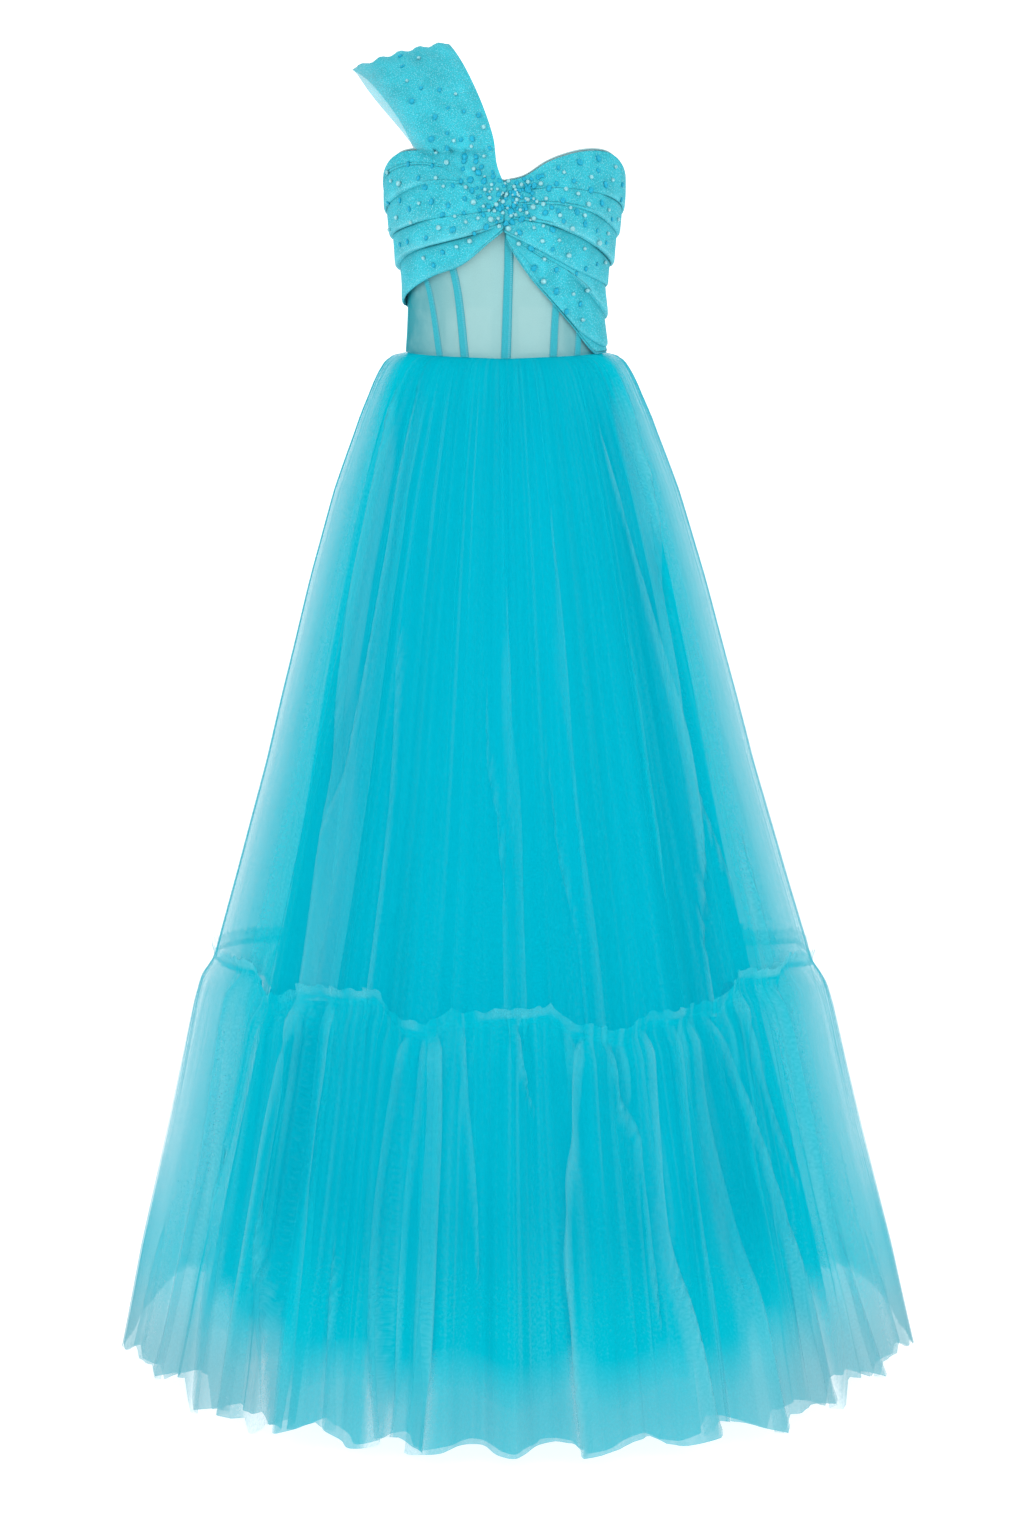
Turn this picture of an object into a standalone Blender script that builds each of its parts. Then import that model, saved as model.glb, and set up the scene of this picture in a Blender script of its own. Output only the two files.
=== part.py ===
"""Ball gown with one shoulder strap, a boned see-through corset, a draped bust that crosses at
the centre into a sash tail, and a full gathered skirt with a deep flounce over a plain lining.

Units are metres, +Z is up, and the origin is the middle of the waist. The front faces -Y. Right
and left are the wearer's, so the strap lies over the right shoulder, at -X. An angle round the
body is 0 at the centre front, +90 at the left side, 180 at the centre back and -90 at the right
side. A share runs from 0 at a piece's first edge to 1 at its last one.
"""

import math
from collections import namedtuple

import bpy
import numpy as np

# ---------------------------------------------------------------- driving sizes
CLOTH = 0.0012
SEAM_GAP = 0.0003
LAYER_GAP = 0.0005
BONE_WIDTH = 0.008
BONE_DEPTH = 0.0018
NECK_TURNING = 0.0025
ZIP_WIDTH = 0.024
ZIP_DEPTH = 0.001
ZIP_INSET = 0.0016
ZIP_TOP_SHARE = 0.985
ZIP_END_SHARE = 0.005
ZIP_ROWS = 6
HEADER_HEIGHT = 0.011
SKIRT_TURNING = 0.006
FLOUNCE_SEAT = 0.0006
HEM_DROP = 1.127
LINING_DROP = 1.058
SKIRT_LEAN = 0.0125
WAIST_DIP_DROP = 0.05

# Each layer of the bodice starts this far outside the inner face of the corset. The drapes
# clear the flat bones under them, and the strap clears the drapes' highest pleats.
BONE_CLEARANCE = 0.0014
PLEAT_CLEARANCE = 0.0050
BONE_OUT = CLOTH + LAYER_GAP
DRAPE_OUT = BONE_OUT + BONE_DEPTH + BONE_CLEARANCE
STRAP_OUT = DRAPE_OUT + CLOTH + PLEAT_CLEARANCE

# ---------------------------------------------------------------- bodice
BodySection = namedtuple("BodySection", "height half_width front_depth back_depth")
BODY = (
    BodySection(height=-0.010, half_width=0.1090, front_depth=0.0812, back_depth=0.0812),
    BodySection(height=0.000, half_width=0.1088, front_depth=0.0810, back_depth=0.0810),
    BodySection(height=0.030, half_width=0.1070, front_depth=0.0812, back_depth=0.0815),
    BodySection(height=0.060, half_width=0.1062, front_depth=0.0830, back_depth=0.0840),
    BodySection(height=0.085, half_width=0.1075, front_depth=0.0850, back_depth=0.0885),
    BodySection(height=0.110, half_width=0.1125, front_depth=0.0870, back_depth=0.0935),
    BodySection(height=0.140, half_width=0.1195, front_depth=0.0885, back_depth=0.0990),
    BodySection(height=0.170, half_width=0.1255, front_depth=0.0885, back_depth=0.1035),
    BodySection(height=0.200, half_width=0.1285, front_depth=0.0870, back_depth=0.1060),
    BodySection(height=0.230, half_width=0.1290, front_depth=0.0850, back_depth=0.1060),
)
CUP_ANGLE = 37.0
CUP_SPREAD = 25.0
CUP_HEIGHT = 0.142
CUP_RISE = 0.050
CUP_DEPTH = 0.024
CUP_SIDE_SHARE = 0.4

# A surface's outward direction is read between places this far to each side of a point.
NORMAL_TURN = 0.5
NORMAL_RISE = 0.002

EdgeHeight = namedtuple("EdgeHeight", "angle height")
NECKLINE = (
    EdgeHeight(angle=0.0, height=0.1880),
    EdgeHeight(angle=9.0, height=0.1930),
    EdgeHeight(angle=20.0, height=0.2085),
    EdgeHeight(angle=33.0, height=0.2190),
    EdgeHeight(angle=47.0, height=0.2235),
    EdgeHeight(angle=60.0, height=0.2215),
    EdgeHeight(angle=73.0, height=0.2120),
    EdgeHeight(angle=90.0, height=0.1960),
    EdgeHeight(angle=115.0, height=0.1810),
    EdgeHeight(angle=145.0, height=0.1690),
    EdgeHeight(angle=180.0, height=0.1640),
)
WAIST = (
    EdgeHeight(angle=0.0, height=-0.0040),
    EdgeHeight(angle=45.0, height=-0.0005),
    EdgeHeight(angle=90.0, height=0.0035),
    EdgeHeight(angle=180.0, height=0.0020),
)
RIGHT_DRAPE_EDGE = (
    EdgeHeight(angle=0.0, height=0.1370),
    EdgeHeight(angle=8.0, height=0.1240),
    EdgeHeight(angle=22.0, height=0.1020),
    EdgeHeight(angle=40.0, height=0.0900),
    EdgeHeight(angle=60.0, height=0.0765),
    EdgeHeight(angle=90.0, height=0.0590),
    EdgeHeight(angle=180.0, height=0.0560),
)
SASH_TOP = (
    EdgeHeight(angle=0.0, height=0.1340),
    EdgeHeight(angle=18.0, height=0.1160),
    EdgeHeight(angle=41.0, height=0.0950),
    EdgeHeight(angle=65.0, height=0.0830),
    EdgeHeight(angle=90.0, height=0.0770),
)
SASH_BOTTOM = (
    EdgeHeight(angle=0.0, height=0.1300),
    EdgeHeight(angle=5.0, height=0.1120),
    EdgeHeight(angle=14.0, height=0.0870),
    EdgeHeight(angle=27.0, height=0.0600),
    EdgeHeight(angle=42.0, height=0.0320),
    EdgeHeight(angle=58.0, height=0.0050),
    EdgeHeight(angle=90.0, height=0.0045),
)

SIDE_ANGLE = 98.0

# Corset seams, each under a bone channel but for the centre back, from the waist upwards.
CorsetSeam = namedtuple("CorsetSeam", "name waist middle neck")
CORSET_SEAMS = (
    CorsetSeam(name="back_right_edge", waist=-180.0, middle=-180.0, neck=-180.0),
    CorsetSeam(name="side_back_right", waist=-139.0, middle=-140.0, neck=-142.0),
    CorsetSeam(name="side_right", waist=-SIDE_ANGLE, middle=-SIDE_ANGLE, neck=-SIDE_ANGLE),
    CorsetSeam(name="side_front_right", waist=-40.5, middle=-55.0, neck=-61.0),
    CorsetSeam(name="front_right", waist=-23.5, middle=-31.0, neck=-35.0),
    CorsetSeam(name="centre", waist=0.6, middle=2.3, neck=2.5),
    CorsetSeam(name="front_left", waist=29.0, middle=34.0, neck=37.0),
    CorsetSeam(name="side_front_left", waist=46.5, middle=56.0, neck=62.0),
    CorsetSeam(name="side_left", waist=SIDE_ANGLE, middle=SIDE_ANGLE, neck=SIDE_ANGLE),
    CorsetSeam(name="side_back_left", waist=139.0, middle=140.0, neck=142.0),
    CorsetSeam(name="back_left_edge", waist=180.0, middle=180.0, neck=180.0),
)
CORSET_PANELS = (
    "corset_back_right",
    "corset_side_back_right",
    "corset_side_right",
    "corset_side_front_right",
    "corset_centre_front_right",
    "corset_centre_front_left",
    "corset_side_front_left",
    "corset_side_left",
    "corset_side_back_left",
    "corset_back_left",
)
CORSET_ROWS = 11
CORSET_STEP_DEGREES = 15.0
BONE_MARGIN_SHARE = 0.6

# A pleat starts at a share of the drape's height and stands out by its lift, least where the
# drapes cross; the bunched cloth there stands out by the crossing's bulge instead.
Pleat = namedtuple("Pleat", "start lift")
BUST_PLEATS = (
    Pleat(start=0.00, lift=0.0026),
    Pleat(start=0.30, lift=0.0022),
    Pleat(start=0.53, lift=0.0026),
    Pleat(start=0.77, lift=0.0018),
)
BACK_PLEATS = (
    Pleat(start=0.00, lift=0.0022),
    Pleat(start=0.35, lift=0.0020),
    Pleat(start=0.68, lift=0.0020),
)
SASH_PLEATS = (
    Pleat(start=0.00, lift=0.0024),
    Pleat(start=0.48, lift=0.0030),
)
PLEAT_LIP_SHARE = 0.10
PLEAT_SLOPE_SHARE = 0.55
PLEAT_LIP_LIFT = 0.25
PLEAT_SLOPE_LIFT = 0.55
DRAPE_STEP_DEGREES = 8.5
BUST_FULL_ANGLE = 40.0
SASH_FULL_ANGLE = 20.0
BACK_FULL_ANGLE = 1.0
CROSSING_ANGLE = 1.6
CROSSING_BULGE = 0.0045
CROSSING_SPREAD = 9.0
CROSSING_LIFT_SHARE = 0.35
SASH_START_ANGLE = 3.0
SASH_REST = 0.0012

# ---------------------------------------------------------------- strap
# Rows run from the crossing over the shoulder to the top of the back, with both edges' places.
StrapRow = namedtuple("StrapRow", "inner_x inner_y inner_z outer_x outer_y outer_z pleat")
STRAP = (
    StrapRow(inner_x=0.0020, inner_y=-0.0800, inner_z=0.1780,
             outer_x=-0.0180, outer_y=-0.0800, outer_z=0.1520, pleat=0.0010),
    StrapRow(inner_x=-0.0080, inner_y=-0.0980, inner_z=0.2040,
             outer_x=-0.0870, outer_y=-0.0900, outer_z=0.2130, pleat=0.0012),
    StrapRow(inner_x=-0.0125, inner_y=-0.0990, inner_z=0.2350,
             outer_x=-0.1150, outer_y=-0.0900, outer_z=0.2450, pleat=0.0010),
    StrapRow(inner_x=-0.0260, inner_y=-0.0780, inner_z=0.2750,
             outer_x=-0.1440, outer_y=-0.0640, outer_z=0.2800, pleat=0.0014),
    StrapRow(inner_x=-0.0450, inner_y=-0.0420, inner_z=0.3160,
             outer_x=-0.1620, outer_y=-0.0300, outer_z=0.3060, pleat=0.0022),
    StrapRow(inner_x=-0.0620, inner_y=0.0050, inner_z=0.3420,
             outer_x=-0.1680, outer_y=0.0040, outer_z=0.3130, pleat=0.0030),
    StrapRow(inner_x=-0.0620, inner_y=0.0480, inner_z=0.3300,
             outer_x=-0.1480, outer_y=0.0400, outer_z=0.3000, pleat=0.0022),
    StrapRow(inner_x=-0.0500, inner_y=0.0850, inner_z=0.2820,
             outer_x=-0.1160, outer_y=0.0740, outer_z=0.2580, pleat=0.0014),
    StrapRow(inner_x=-0.0390, inner_y=0.1060, inner_z=0.2180,
             outer_x=-0.0960, outer_y=0.0850, outer_z=0.2080, pleat=0.0010),
    StrapRow(inner_x=-0.0340, inner_y=0.0900, inner_z=0.1480,
             outer_x=-0.0860, outer_y=0.0800, outer_z=0.1480, pleat=0.0008),
)
STRAP_STEPS = 18
STRAP_PLEATS = 5
STRAP_CROWN = 0.004
STRAP_FREE_HEIGHT = 0.232
STRAP_FRONT_ANGLES = np.linspace(6.0, -90.0, 49)
STRAP_BACK_ANGLES = np.linspace(-180.0, -90.0, 46)

# ---------------------------------------------------------------- skirt
# A section's tilt is how far its outward direction leans up; its fold is half a fold's depth.
SkirtSection = namedtuple("SkirtSection", "drop half_width depth tilt fold")
SKIRT = (
    SkirtSection(drop=0.0003, half_width=0.1100, depth=0.0822, tilt=62.0, fold=0.0000),
    SkirtSection(drop=0.0035, half_width=0.1270, depth=0.1010, tilt=50.0, fold=0.0022),
    SkirtSection(drop=0.0290, half_width=0.1430, depth=0.1185, tilt=24.0, fold=0.0036),
    SkirtSection(drop=0.0830, half_width=0.1640, depth=0.1425, tilt=16.0, fold=0.0050),
    SkirtSection(drop=0.2200, half_width=0.2070, depth=0.1890, tilt=13.0, fold=0.0072),
    SkirtSection(drop=0.4500, half_width=0.2650, depth=0.2500, tilt=10.0, fold=0.0092),
    SkirtSection(drop=0.6400, half_width=0.3225, depth=0.3065, tilt=9.0, fold=0.0012),
    SkirtSection(drop=0.7200, half_width=0.3450, depth=0.3280, tilt=9.0, fold=0.0012),
)
SKIRT_FREE_SECTIONS = 6
SKIRT_LAST_FOLD = 0.0060
SKIRT_LAST_RISE = 0.028
SKIRT_STITCH_FOLD = 0.0010

# Below the stitch line the flounce is given by its share of the way down to the hem.
FlounceSection = namedtuple("FlounceSection", "share spread fold")
FLOUNCE = (
    FlounceSection(share=0.00, spread=0.0000, fold=0.0006),
    FlounceSection(share=0.09, spread=0.0105, fold=0.0068),
    FlounceSection(share=0.34, spread=0.0345, fold=0.0105),
    FlounceSection(share=0.66, spread=0.0675, fold=0.0125),
    FlounceSection(share=1.00, spread=0.1010, fold=0.0145),
)
FLOUNCE_TILT = 9.0
HEADER_SPREAD = 0.0060
HEADER_FOLD = 0.0034
HEM_WAVE = 0.0035

# The flounce's stitch line steps up and down as its seam was sewn, given as a drop by angle.
SeamStep = namedtuple("SeamStep", "angle drop")
FLOUNCE_SEAM = (
    SeamStep(angle=-180.0, drop=0.684),
    SeamStep(angle=-158.0, drop=0.676),
    SeamStep(angle=-140.0, drop=0.694),
    SeamStep(angle=-118.0, drop=0.682),
    SeamStep(angle=-96.0, drop=0.672),
    SeamStep(angle=-80.0, drop=0.668),
    SeamStep(angle=-57.0, drop=0.666),
    SeamStep(angle=-52.0, drop=0.696),
    SeamStep(angle=-46.0, drop=0.692),
    SeamStep(angle=-41.0, drop=0.679),
    SeamStep(angle=-26.0, drop=0.677),
    SeamStep(angle=-22.0, drop=0.701),
    SeamStep(angle=-15.0, drop=0.708),
    SeamStep(angle=-11.0, drop=0.694),
    SeamStep(angle=2.0, drop=0.692),
    SeamStep(angle=7.0, drop=0.686),
    SeamStep(angle=10.0, drop=0.705),
    SeamStep(angle=19.0, drop=0.715),
    SeamStep(angle=25.0, drop=0.700),
    SeamStep(angle=40.0, drop=0.696),
    SeamStep(angle=46.0, drop=0.668),
    SeamStep(angle=58.0, drop=0.673),
    SeamStep(angle=64.0, drop=0.662),
    SeamStep(angle=84.0, drop=0.677),
    SeamStep(angle=104.0, drop=0.671),
    SeamStep(angle=122.0, drop=0.689),
    SeamStep(angle=146.0, drop=0.679),
    SeamStep(angle=164.0, drop=0.695),
    SeamStep(angle=180.0, drop=0.684),
)

# Folds take turns through these rows, so that neighbours differ in width, form and depth.
FoldForm = namedtuple("FoldForm", "width crest height")
FOLD_FORMS = (
    FoldForm(width=1.00, crest=0.30, height=1.00),
    FoldForm(width=0.74, crest=0.24, height=0.62),
    FoldForm(width=1.34, crest=0.36, height=1.20),
    FoldForm(width=0.88, crest=0.26, height=0.84),
    FoldForm(width=1.16, crest=0.34, height=1.08),
    FoldForm(width=0.66, crest=0.22, height=0.70),
    FoldForm(width=1.22, crest=0.30, height=0.94),
)
TROUGH_SHARE = 0.26

SkirtPanel = namedtuple("SkirtPanel", "name first_angle last_angle skirt_folds flounce_folds")
SKIRT_PANELS = (
    SkirtPanel(name="front", first_angle=-90.0, last_angle=90.0, skirt_folds=18, flounce_folds=24),
    SkirtPanel(name="back_left", first_angle=90.0, last_angle=180.0,
               skirt_folds=9, flounce_folds=12),
    SkirtPanel(name="back_right", first_angle=-180.0, last_angle=-90.0,
               skirt_folds=9, flounce_folds=12),
)

LiningSection = namedtuple("LiningSection", "drop half_width depth ripple")
LINING = (
    LiningSection(drop=0.0003, half_width=0.1079, depth=0.0801, ripple=0.0),
    LiningSection(drop=0.0300, half_width=0.1220, depth=0.0945, ripple=0.0006),
    LiningSection(drop=0.1500, half_width=0.1530, depth=0.1270, ripple=0.0025),
    LiningSection(drop=0.5500, half_width=0.2240, depth=0.2030, ripple=0.0060),
    LiningSection(drop=LINING_DROP, half_width=0.3420, depth=0.3240, ripple=0.0090),
)
LINING_QUARTER_RIPPLES = 3

# ---------------------------------------------------------------- colours
Finish = namedtuple("Finish", "name color roughness")
MESH = Finish("sheer_mesh", (0.37, 0.65, 0.65, 1.0), 0.70)
BONING = Finish("bone_channel", (0.0, 0.46, 0.61, 1.0), 0.55)
DRAPE = Finish("draped_tulle", (0.11, 0.62, 0.74, 1.0), 0.65)
TULLE = Finish("skirt_tulle", (0.0, 0.50, 0.69, 1.0), 0.75)
SATIN = Finish("lining_satin", (0.0, 0.46, 0.64, 1.0), 0.45)
TAPE = Finish("zip_tape", (0.0, 0.42, 0.56, 1.0), 0.60)


# ---------------------------------------------------------------- reading the tables
def smooth_curve(places, values, at):
    """A smooth curve through values at growing places, held level beyond its ends."""
    slopes = np.gradient(values, places)
    at = np.clip(np.asarray(at, float), places[0], places[-1])
    index = np.clip(np.searchsorted(places, at) - 1, 0, len(places) - 2)
    span = places[index + 1] - places[index]
    t = (at - places[index]) / span
    start = (2 * t**3 - 3 * t**2 + 1) * values[index] + (t**3 - 2 * t**2 + t) * span * slopes[index]
    end = (3 * t**2 - 2 * t**3) * values[index + 1] + (t**3 - t**2) * span * slopes[index + 1]
    return start + end


def read(table, column, at):
    """A smooth curve through a table's column, along the table's first column."""
    places = np.array([row[0] for row in table])
    values = np.array([getattr(row, column) for row in table])
    return smooth_curve(places, values, at)


def read_straight(table, column, at):
    """Straight lines through a table's column."""
    return np.interp(at, [row[0] for row in table], [getattr(row, column) for row in table])


# ---------------------------------------------------------------- meshes
SHARP_DEGREES = 50.0


def material_for(finish):
    found = bpy.data.materials.get(finish.name)
    if found:
        return found
    material = bpy.data.materials.new(finish.name)
    material.use_nodes = True
    shader = material.node_tree.nodes["Principled BSDF"]
    shader.inputs["Base Color"].default_value = finish.color
    shader.inputs["Roughness"].default_value = finish.roughness
    shader.inputs["Metallic"].default_value = 0.0
    return material


def grid_faces(rows, columns):
    """Faces of a grid whose rows run down and whose columns run round by growing angle."""
    faces = []
    for row in range(rows - 1):
        for column in range(columns - 1):
            corner = row * columns + column
            faces.append((corner, corner + columns, corner + columns + 1, corner + 1))
    return faces


def grid_border(rows, columns):
    """The grid's border points, down the first column and round."""
    down = [row * columns for row in range(rows)]
    along = [(rows - 1) * columns + column for column in range(1, columns)]
    up = [row * columns + columns - 1 for row in range(rows - 2, -1, -1)]
    back = list(range(columns - 2, 0, -1))
    return down + along + up + back


def new_object(name, points, faces, finish):
    mesh = bpy.data.meshes.new(name)
    mesh.from_pydata([tuple(point) for point in points], [], faces)
    mesh.materials.append(material_for(finish))
    mesh.shade_smooth()
    mesh.set_sharp_from_angle(angle=math.radians(SHARP_DEGREES))
    thing = bpy.data.objects.new(name, mesh)
    gown.objects.link(thing)
    return thing


def cloth_sheet(name, grid, finish):
    """An open sheet through a grid of points, thickened inwards by the cloth."""
    rows, columns, _ = grid.shape
    thing = new_object(name, grid.reshape(-1, 3), grid_faces(rows, columns), finish)
    wall = thing.modifiers.new("cloth", "SOLIDIFY")
    wall.thickness = CLOTH
    wall.offset = -1.0
    wall.use_even_offset = True
    return thing


def cloth_wall(name, outer, inner, finish):
    """A closed wall between an outer grid, which may be pleated, and a plain inner one."""
    rows, columns, _ = outer.shape
    outer_faces = grid_faces(rows, columns)
    count = rows * columns
    inner_faces = [tuple(count + corner for corner in reversed(face)) for face in outer_faces]
    border = grid_border(rows, columns)
    rim = []
    for here, there in zip(border, border[1:] + border[:1]):
        rim.append((there, here, count + here, count + there))
    points = np.concatenate([outer.reshape(-1, 3), inner.reshape(-1, 3)])
    return new_object(name, points, outer_faces + inner_faces + rim, finish)


def surface_normals(grid):
    """Outward directions of a grid, from its neighbours down and round."""
    down = np.gradient(grid, axis=0)
    around = np.gradient(grid, axis=1)
    normals = np.cross(down, around)
    return normals / np.linalg.norm(normals, axis=-1, keepdims=True)


# ---------------------------------------------------------------- bodice
def mirrored_edge(table, angle):
    """An edge height that is the same on both sides of the centre front."""
    return read(table, "height", np.abs(angle))


def body_place(angle, height):
    """The corset's inner face: an oval section with two cups in front."""
    turn = np.radians(angle)
    front = read(BODY, "front_depth", height)
    back = read(BODY, "back_depth", height)
    depth = np.where(np.cos(turn) > 0, front, back)
    across = (np.abs(angle) - CUP_ANGLE) / CUP_SPREAD
    upwards = (height - CUP_HEIGHT) / CUP_RISE
    cup = CUP_DEPTH * np.exp(-(across**2) - upwards**2)
    x = (read(BODY, "half_width", height) + CUP_SIDE_SHARE * cup) * np.sin(turn)
    y = -depth * np.cos(turn) - cup * np.abs(np.cos(turn))
    return np.stack([x, y, height + 0.0 * angle], axis=-1)


def body_point(angle, height, out):
    """A point the given distance outside the corset's inner face."""
    angle = np.asarray(angle, float)
    height = np.asarray(height, float) + 0.0 * angle
    around = body_place(angle + NORMAL_TURN, height) - body_place(angle - NORMAL_TURN, height)
    upwards = body_place(angle, height + NORMAL_RISE) - body_place(angle, height - NORMAL_RISE)
    normal = np.cross(around, upwards)
    normal /= np.linalg.norm(normal, axis=-1, keepdims=True)
    return body_place(angle, height) + normal * np.asarray(out)[..., None]


def seam_angle(seam, share):
    """A corset seam's angle, by share of the way from the waist to the neckline."""
    return np.interp(share, (0.0, 0.5, 1.0), (seam.waist, seam.middle, seam.neck))


def build_corset_panel(name, first, last):
    shares = np.linspace(1.0, 0.0, CORSET_ROWS)
    widest = max(last.waist - first.waist, last.neck - first.neck)
    margin = math.degrees(BONE_MARGIN_SHARE * BONE_WIDTH / BODY[1].half_width) / widest
    spans = max(1, round(widest * (1.0 - 2 * margin) / CORSET_STEP_DEGREES))
    between = np.linspace(margin, 1.0 - margin, spans + 1)
    across = np.concatenate([[0.0], between, [1.0]])
    inset = math.degrees(0.5 * SEAM_GAP / BODY[1].front_depth)
    start = seam_angle(first, shares)[:, None] + inset
    end = seam_angle(last, shares)[:, None] - inset
    angle = start + (end - start) * across
    low = mirrored_edge(WAIST, angle)
    high = mirrored_edge(NECKLINE, angle)
    height = low + (high - low) * shares[:, None]
    return cloth_sheet(name, body_point(angle, height, CLOTH + 0.0 * angle), MESH)


def build_bone(seam):
    """A flat bone channel sewn over a corset seam."""
    shares = np.linspace(1.0, 0.0, CORSET_ROWS)[1:]
    middle = seam_angle(seam, shares)
    low = mirrored_edge(WAIST, middle)
    height = low + (mirrored_edge(NECKLINE, middle) - low) * shares
    place = body_place(middle, height)
    radius = np.hypot(place[:, 0], place[:, 1])
    half_turn = np.degrees(0.5 * BONE_WIDTH / radius)
    angle = middle[:, None] + half_turn[:, None] * np.array([-1.0, 1.0])
    height = height[:, None] + 0.0 * angle
    outer = body_point(angle, height, BONE_OUT + BONE_DEPTH + 0.0 * angle)
    inner = body_point(angle, height, BONE_OUT + 0.0 * angle)
    return cloth_wall("bone_" + seam.name, outer, inner, BONING)


def pleat_profile(pleats):
    """Shares up a drape and how far each stands out: every pleat is a lip that slopes away."""
    shares = []
    lifts = []
    ends = [pleat.start for pleat in pleats[1:]] + [1.0]
    for pleat, end in zip(pleats, ends):
        span = end - pleat.start
        lip = pleat.start + PLEAT_LIP_SHARE * span
        slope = pleat.start + PLEAT_SLOPE_SHARE * span
        shares += [pleat.start, lip, slope]
        lifts += [PLEAT_LIP_LIFT * pleat.lift, pleat.lift, PLEAT_SLOPE_LIFT * pleat.lift]
    return np.array(shares + [1.0]), np.array(lifts + [0.0])


def crossing_bulge(angle):
    """How far the bunched cloth stands out near the centre front."""
    return CROSSING_BULGE * np.exp(-((angle / CROSSING_SPREAD) ** 2))


def build_drape(name, first_angle, last_angle, bottom, top, pleats, full_from):
    """Pleated cloth between two edge curves; its pleats lie flatter near the crossing."""
    shares, lifts = pleat_profile(pleats)
    shares = shares[::-1]
    lifts = lifts[::-1]
    columns = 1 + round((last_angle - first_angle) / DRAPE_STEP_DEGREES)
    angle = np.linspace(first_angle, last_angle, columns)
    low = bottom(angle)
    height = low + (top(angle) - low) * shares[:, None]
    angle = angle + 0.0 * height
    growth = np.clip(np.abs(angle) / full_from, CROSSING_LIFT_SHARE, 1.0)
    out = DRAPE_OUT + CLOTH + lifts[:, None] * growth + crossing_bulge(angle)
    outer = body_point(angle, height, out)
    inner = body_point(angle, height, DRAPE_OUT + 0.0 * angle)
    return cloth_wall(name, outer, inner, DRAPE)


def neck_turning(angle):
    """The drapes' top edge, just below the corset's own."""
    return mirrored_edge(NECKLINE, angle) - NECK_TURNING


def build_drapes():
    def right_bottom(angle):
        return mirrored_edge(RIGHT_DRAPE_EDGE, angle)

    def left_bottom(angle):
        return mirrored_edge(SASH_TOP, angle) + 2 * SEAM_GAP

    inset = math.degrees(SEAM_GAP / BODY[1].half_width)
    build_drape("bust_drape_right", -SIDE_ANGLE + inset, CROSSING_ANGLE - inset,
                right_bottom, neck_turning, BUST_PLEATS, BUST_FULL_ANGLE)
    build_drape("bust_drape_left", CROSSING_ANGLE + inset, SIDE_ANGLE - inset,
                left_bottom, neck_turning, BUST_PLEATS, BUST_FULL_ANGLE)
    build_drape("back_drape_right", -180.0 + inset, -SIDE_ANGLE - inset,
                right_bottom, neck_turning, BACK_PLEATS, BACK_FULL_ANGLE)
    build_drape("back_drape_left", SIDE_ANGLE + inset, 180.0 - inset,
                right_bottom, neck_turning, BACK_PLEATS, BACK_FULL_ANGLE)


def build_sash_tail():
    """The end of the sash, from the crossing down to the left side of the waist."""

    def bottom(angle):
        return np.maximum(mirrored_edge(SASH_BOTTOM, angle), mirrored_edge(WAIST, angle) + SASH_REST)

    def top(angle):
        return mirrored_edge(SASH_TOP, angle) - 2 * SEAM_GAP

    build_drape("sash_tail", SASH_START_ANGLE, SIDE_ANGLE, bottom, top, SASH_PLEATS,
                SASH_FULL_ANGLE)


def lay_on_body(grid):
    """Moves the strap's ends out, in front and behind, onto the drapes that they lie on."""
    for point in grid.reshape(-1, 3):
        x, y, height = point
        if height > STRAP_FREE_HEIGHT:
            continue
        forward = y < 0
        side = STRAP_FRONT_ANGLES if forward else STRAP_BACK_ANGLES
        around = body_point(side, height, STRAP_OUT + crossing_bulge(side))
        surface = np.interp(-x, -around[:, 0], around[:, 1])
        point[1] = min(y, surface) if forward else max(y, surface)


def build_strap():
    """A wide pleated strap, from the crossing over the right shoulder to the top of the back."""
    rows = np.arange(len(STRAP), dtype=float)
    at = np.linspace(0.0, rows[-1], STRAP_STEPS + 1)

    def along(column):
        return smooth_curve(rows, np.array([getattr(row, column) for row in STRAP]), at)

    inner_edge = np.stack([along("inner_x"), along("inner_y"), along("inner_z")], axis=-1)
    outer_edge = np.stack([along("outer_x"), along("outer_y"), along("outer_z")], axis=-1)
    across = np.linspace(0.0, 1.0, 2 * STRAP_PLEATS + 1)
    flat = outer_edge[:, None] + (inner_edge - outer_edge)[:, None] * across[None, :, None]
    lay_on_body(flat)
    normals = surface_normals(flat)
    crown = STRAP_CROWN * np.sin(math.pi * across) * (flat[:, :, 2] > STRAP_FREE_HEIGHT)
    raised = along("pleat")[:, None] * (np.arange(len(across)) % 2)
    inner = flat + normals * crown[..., None]
    outer = inner + normals * (CLOTH + raised)[..., None]
    return cloth_wall("shoulder_strap", outer, inner, DRAPE)


def build_zip_tape():
    """The concealed zip's tape, inside the centre back from the neckline to the waist."""
    shares = np.linspace(ZIP_TOP_SHARE, ZIP_END_SHARE, ZIP_ROWS)
    half_turn = math.degrees(0.5 * ZIP_WIDTH / BODY[1].back_depth)
    angle = 180.0 + half_turn * np.array([-1.0, 0.0, 1.0]) + 0.0 * shares[:, None]
    low = mirrored_edge(WAIST, 180.0)
    high = mirrored_edge(NECKLINE, 180.0)
    height = low + (high - low) * shares[:, None] + 0.0 * angle
    outer = body_point(angle, height, -ZIP_INSET + 0.0 * angle)
    inner = body_point(angle, height, -ZIP_INSET - ZIP_DEPTH + 0.0 * angle)
    return cloth_wall("zip_tape", outer, inner, TAPE)


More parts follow.
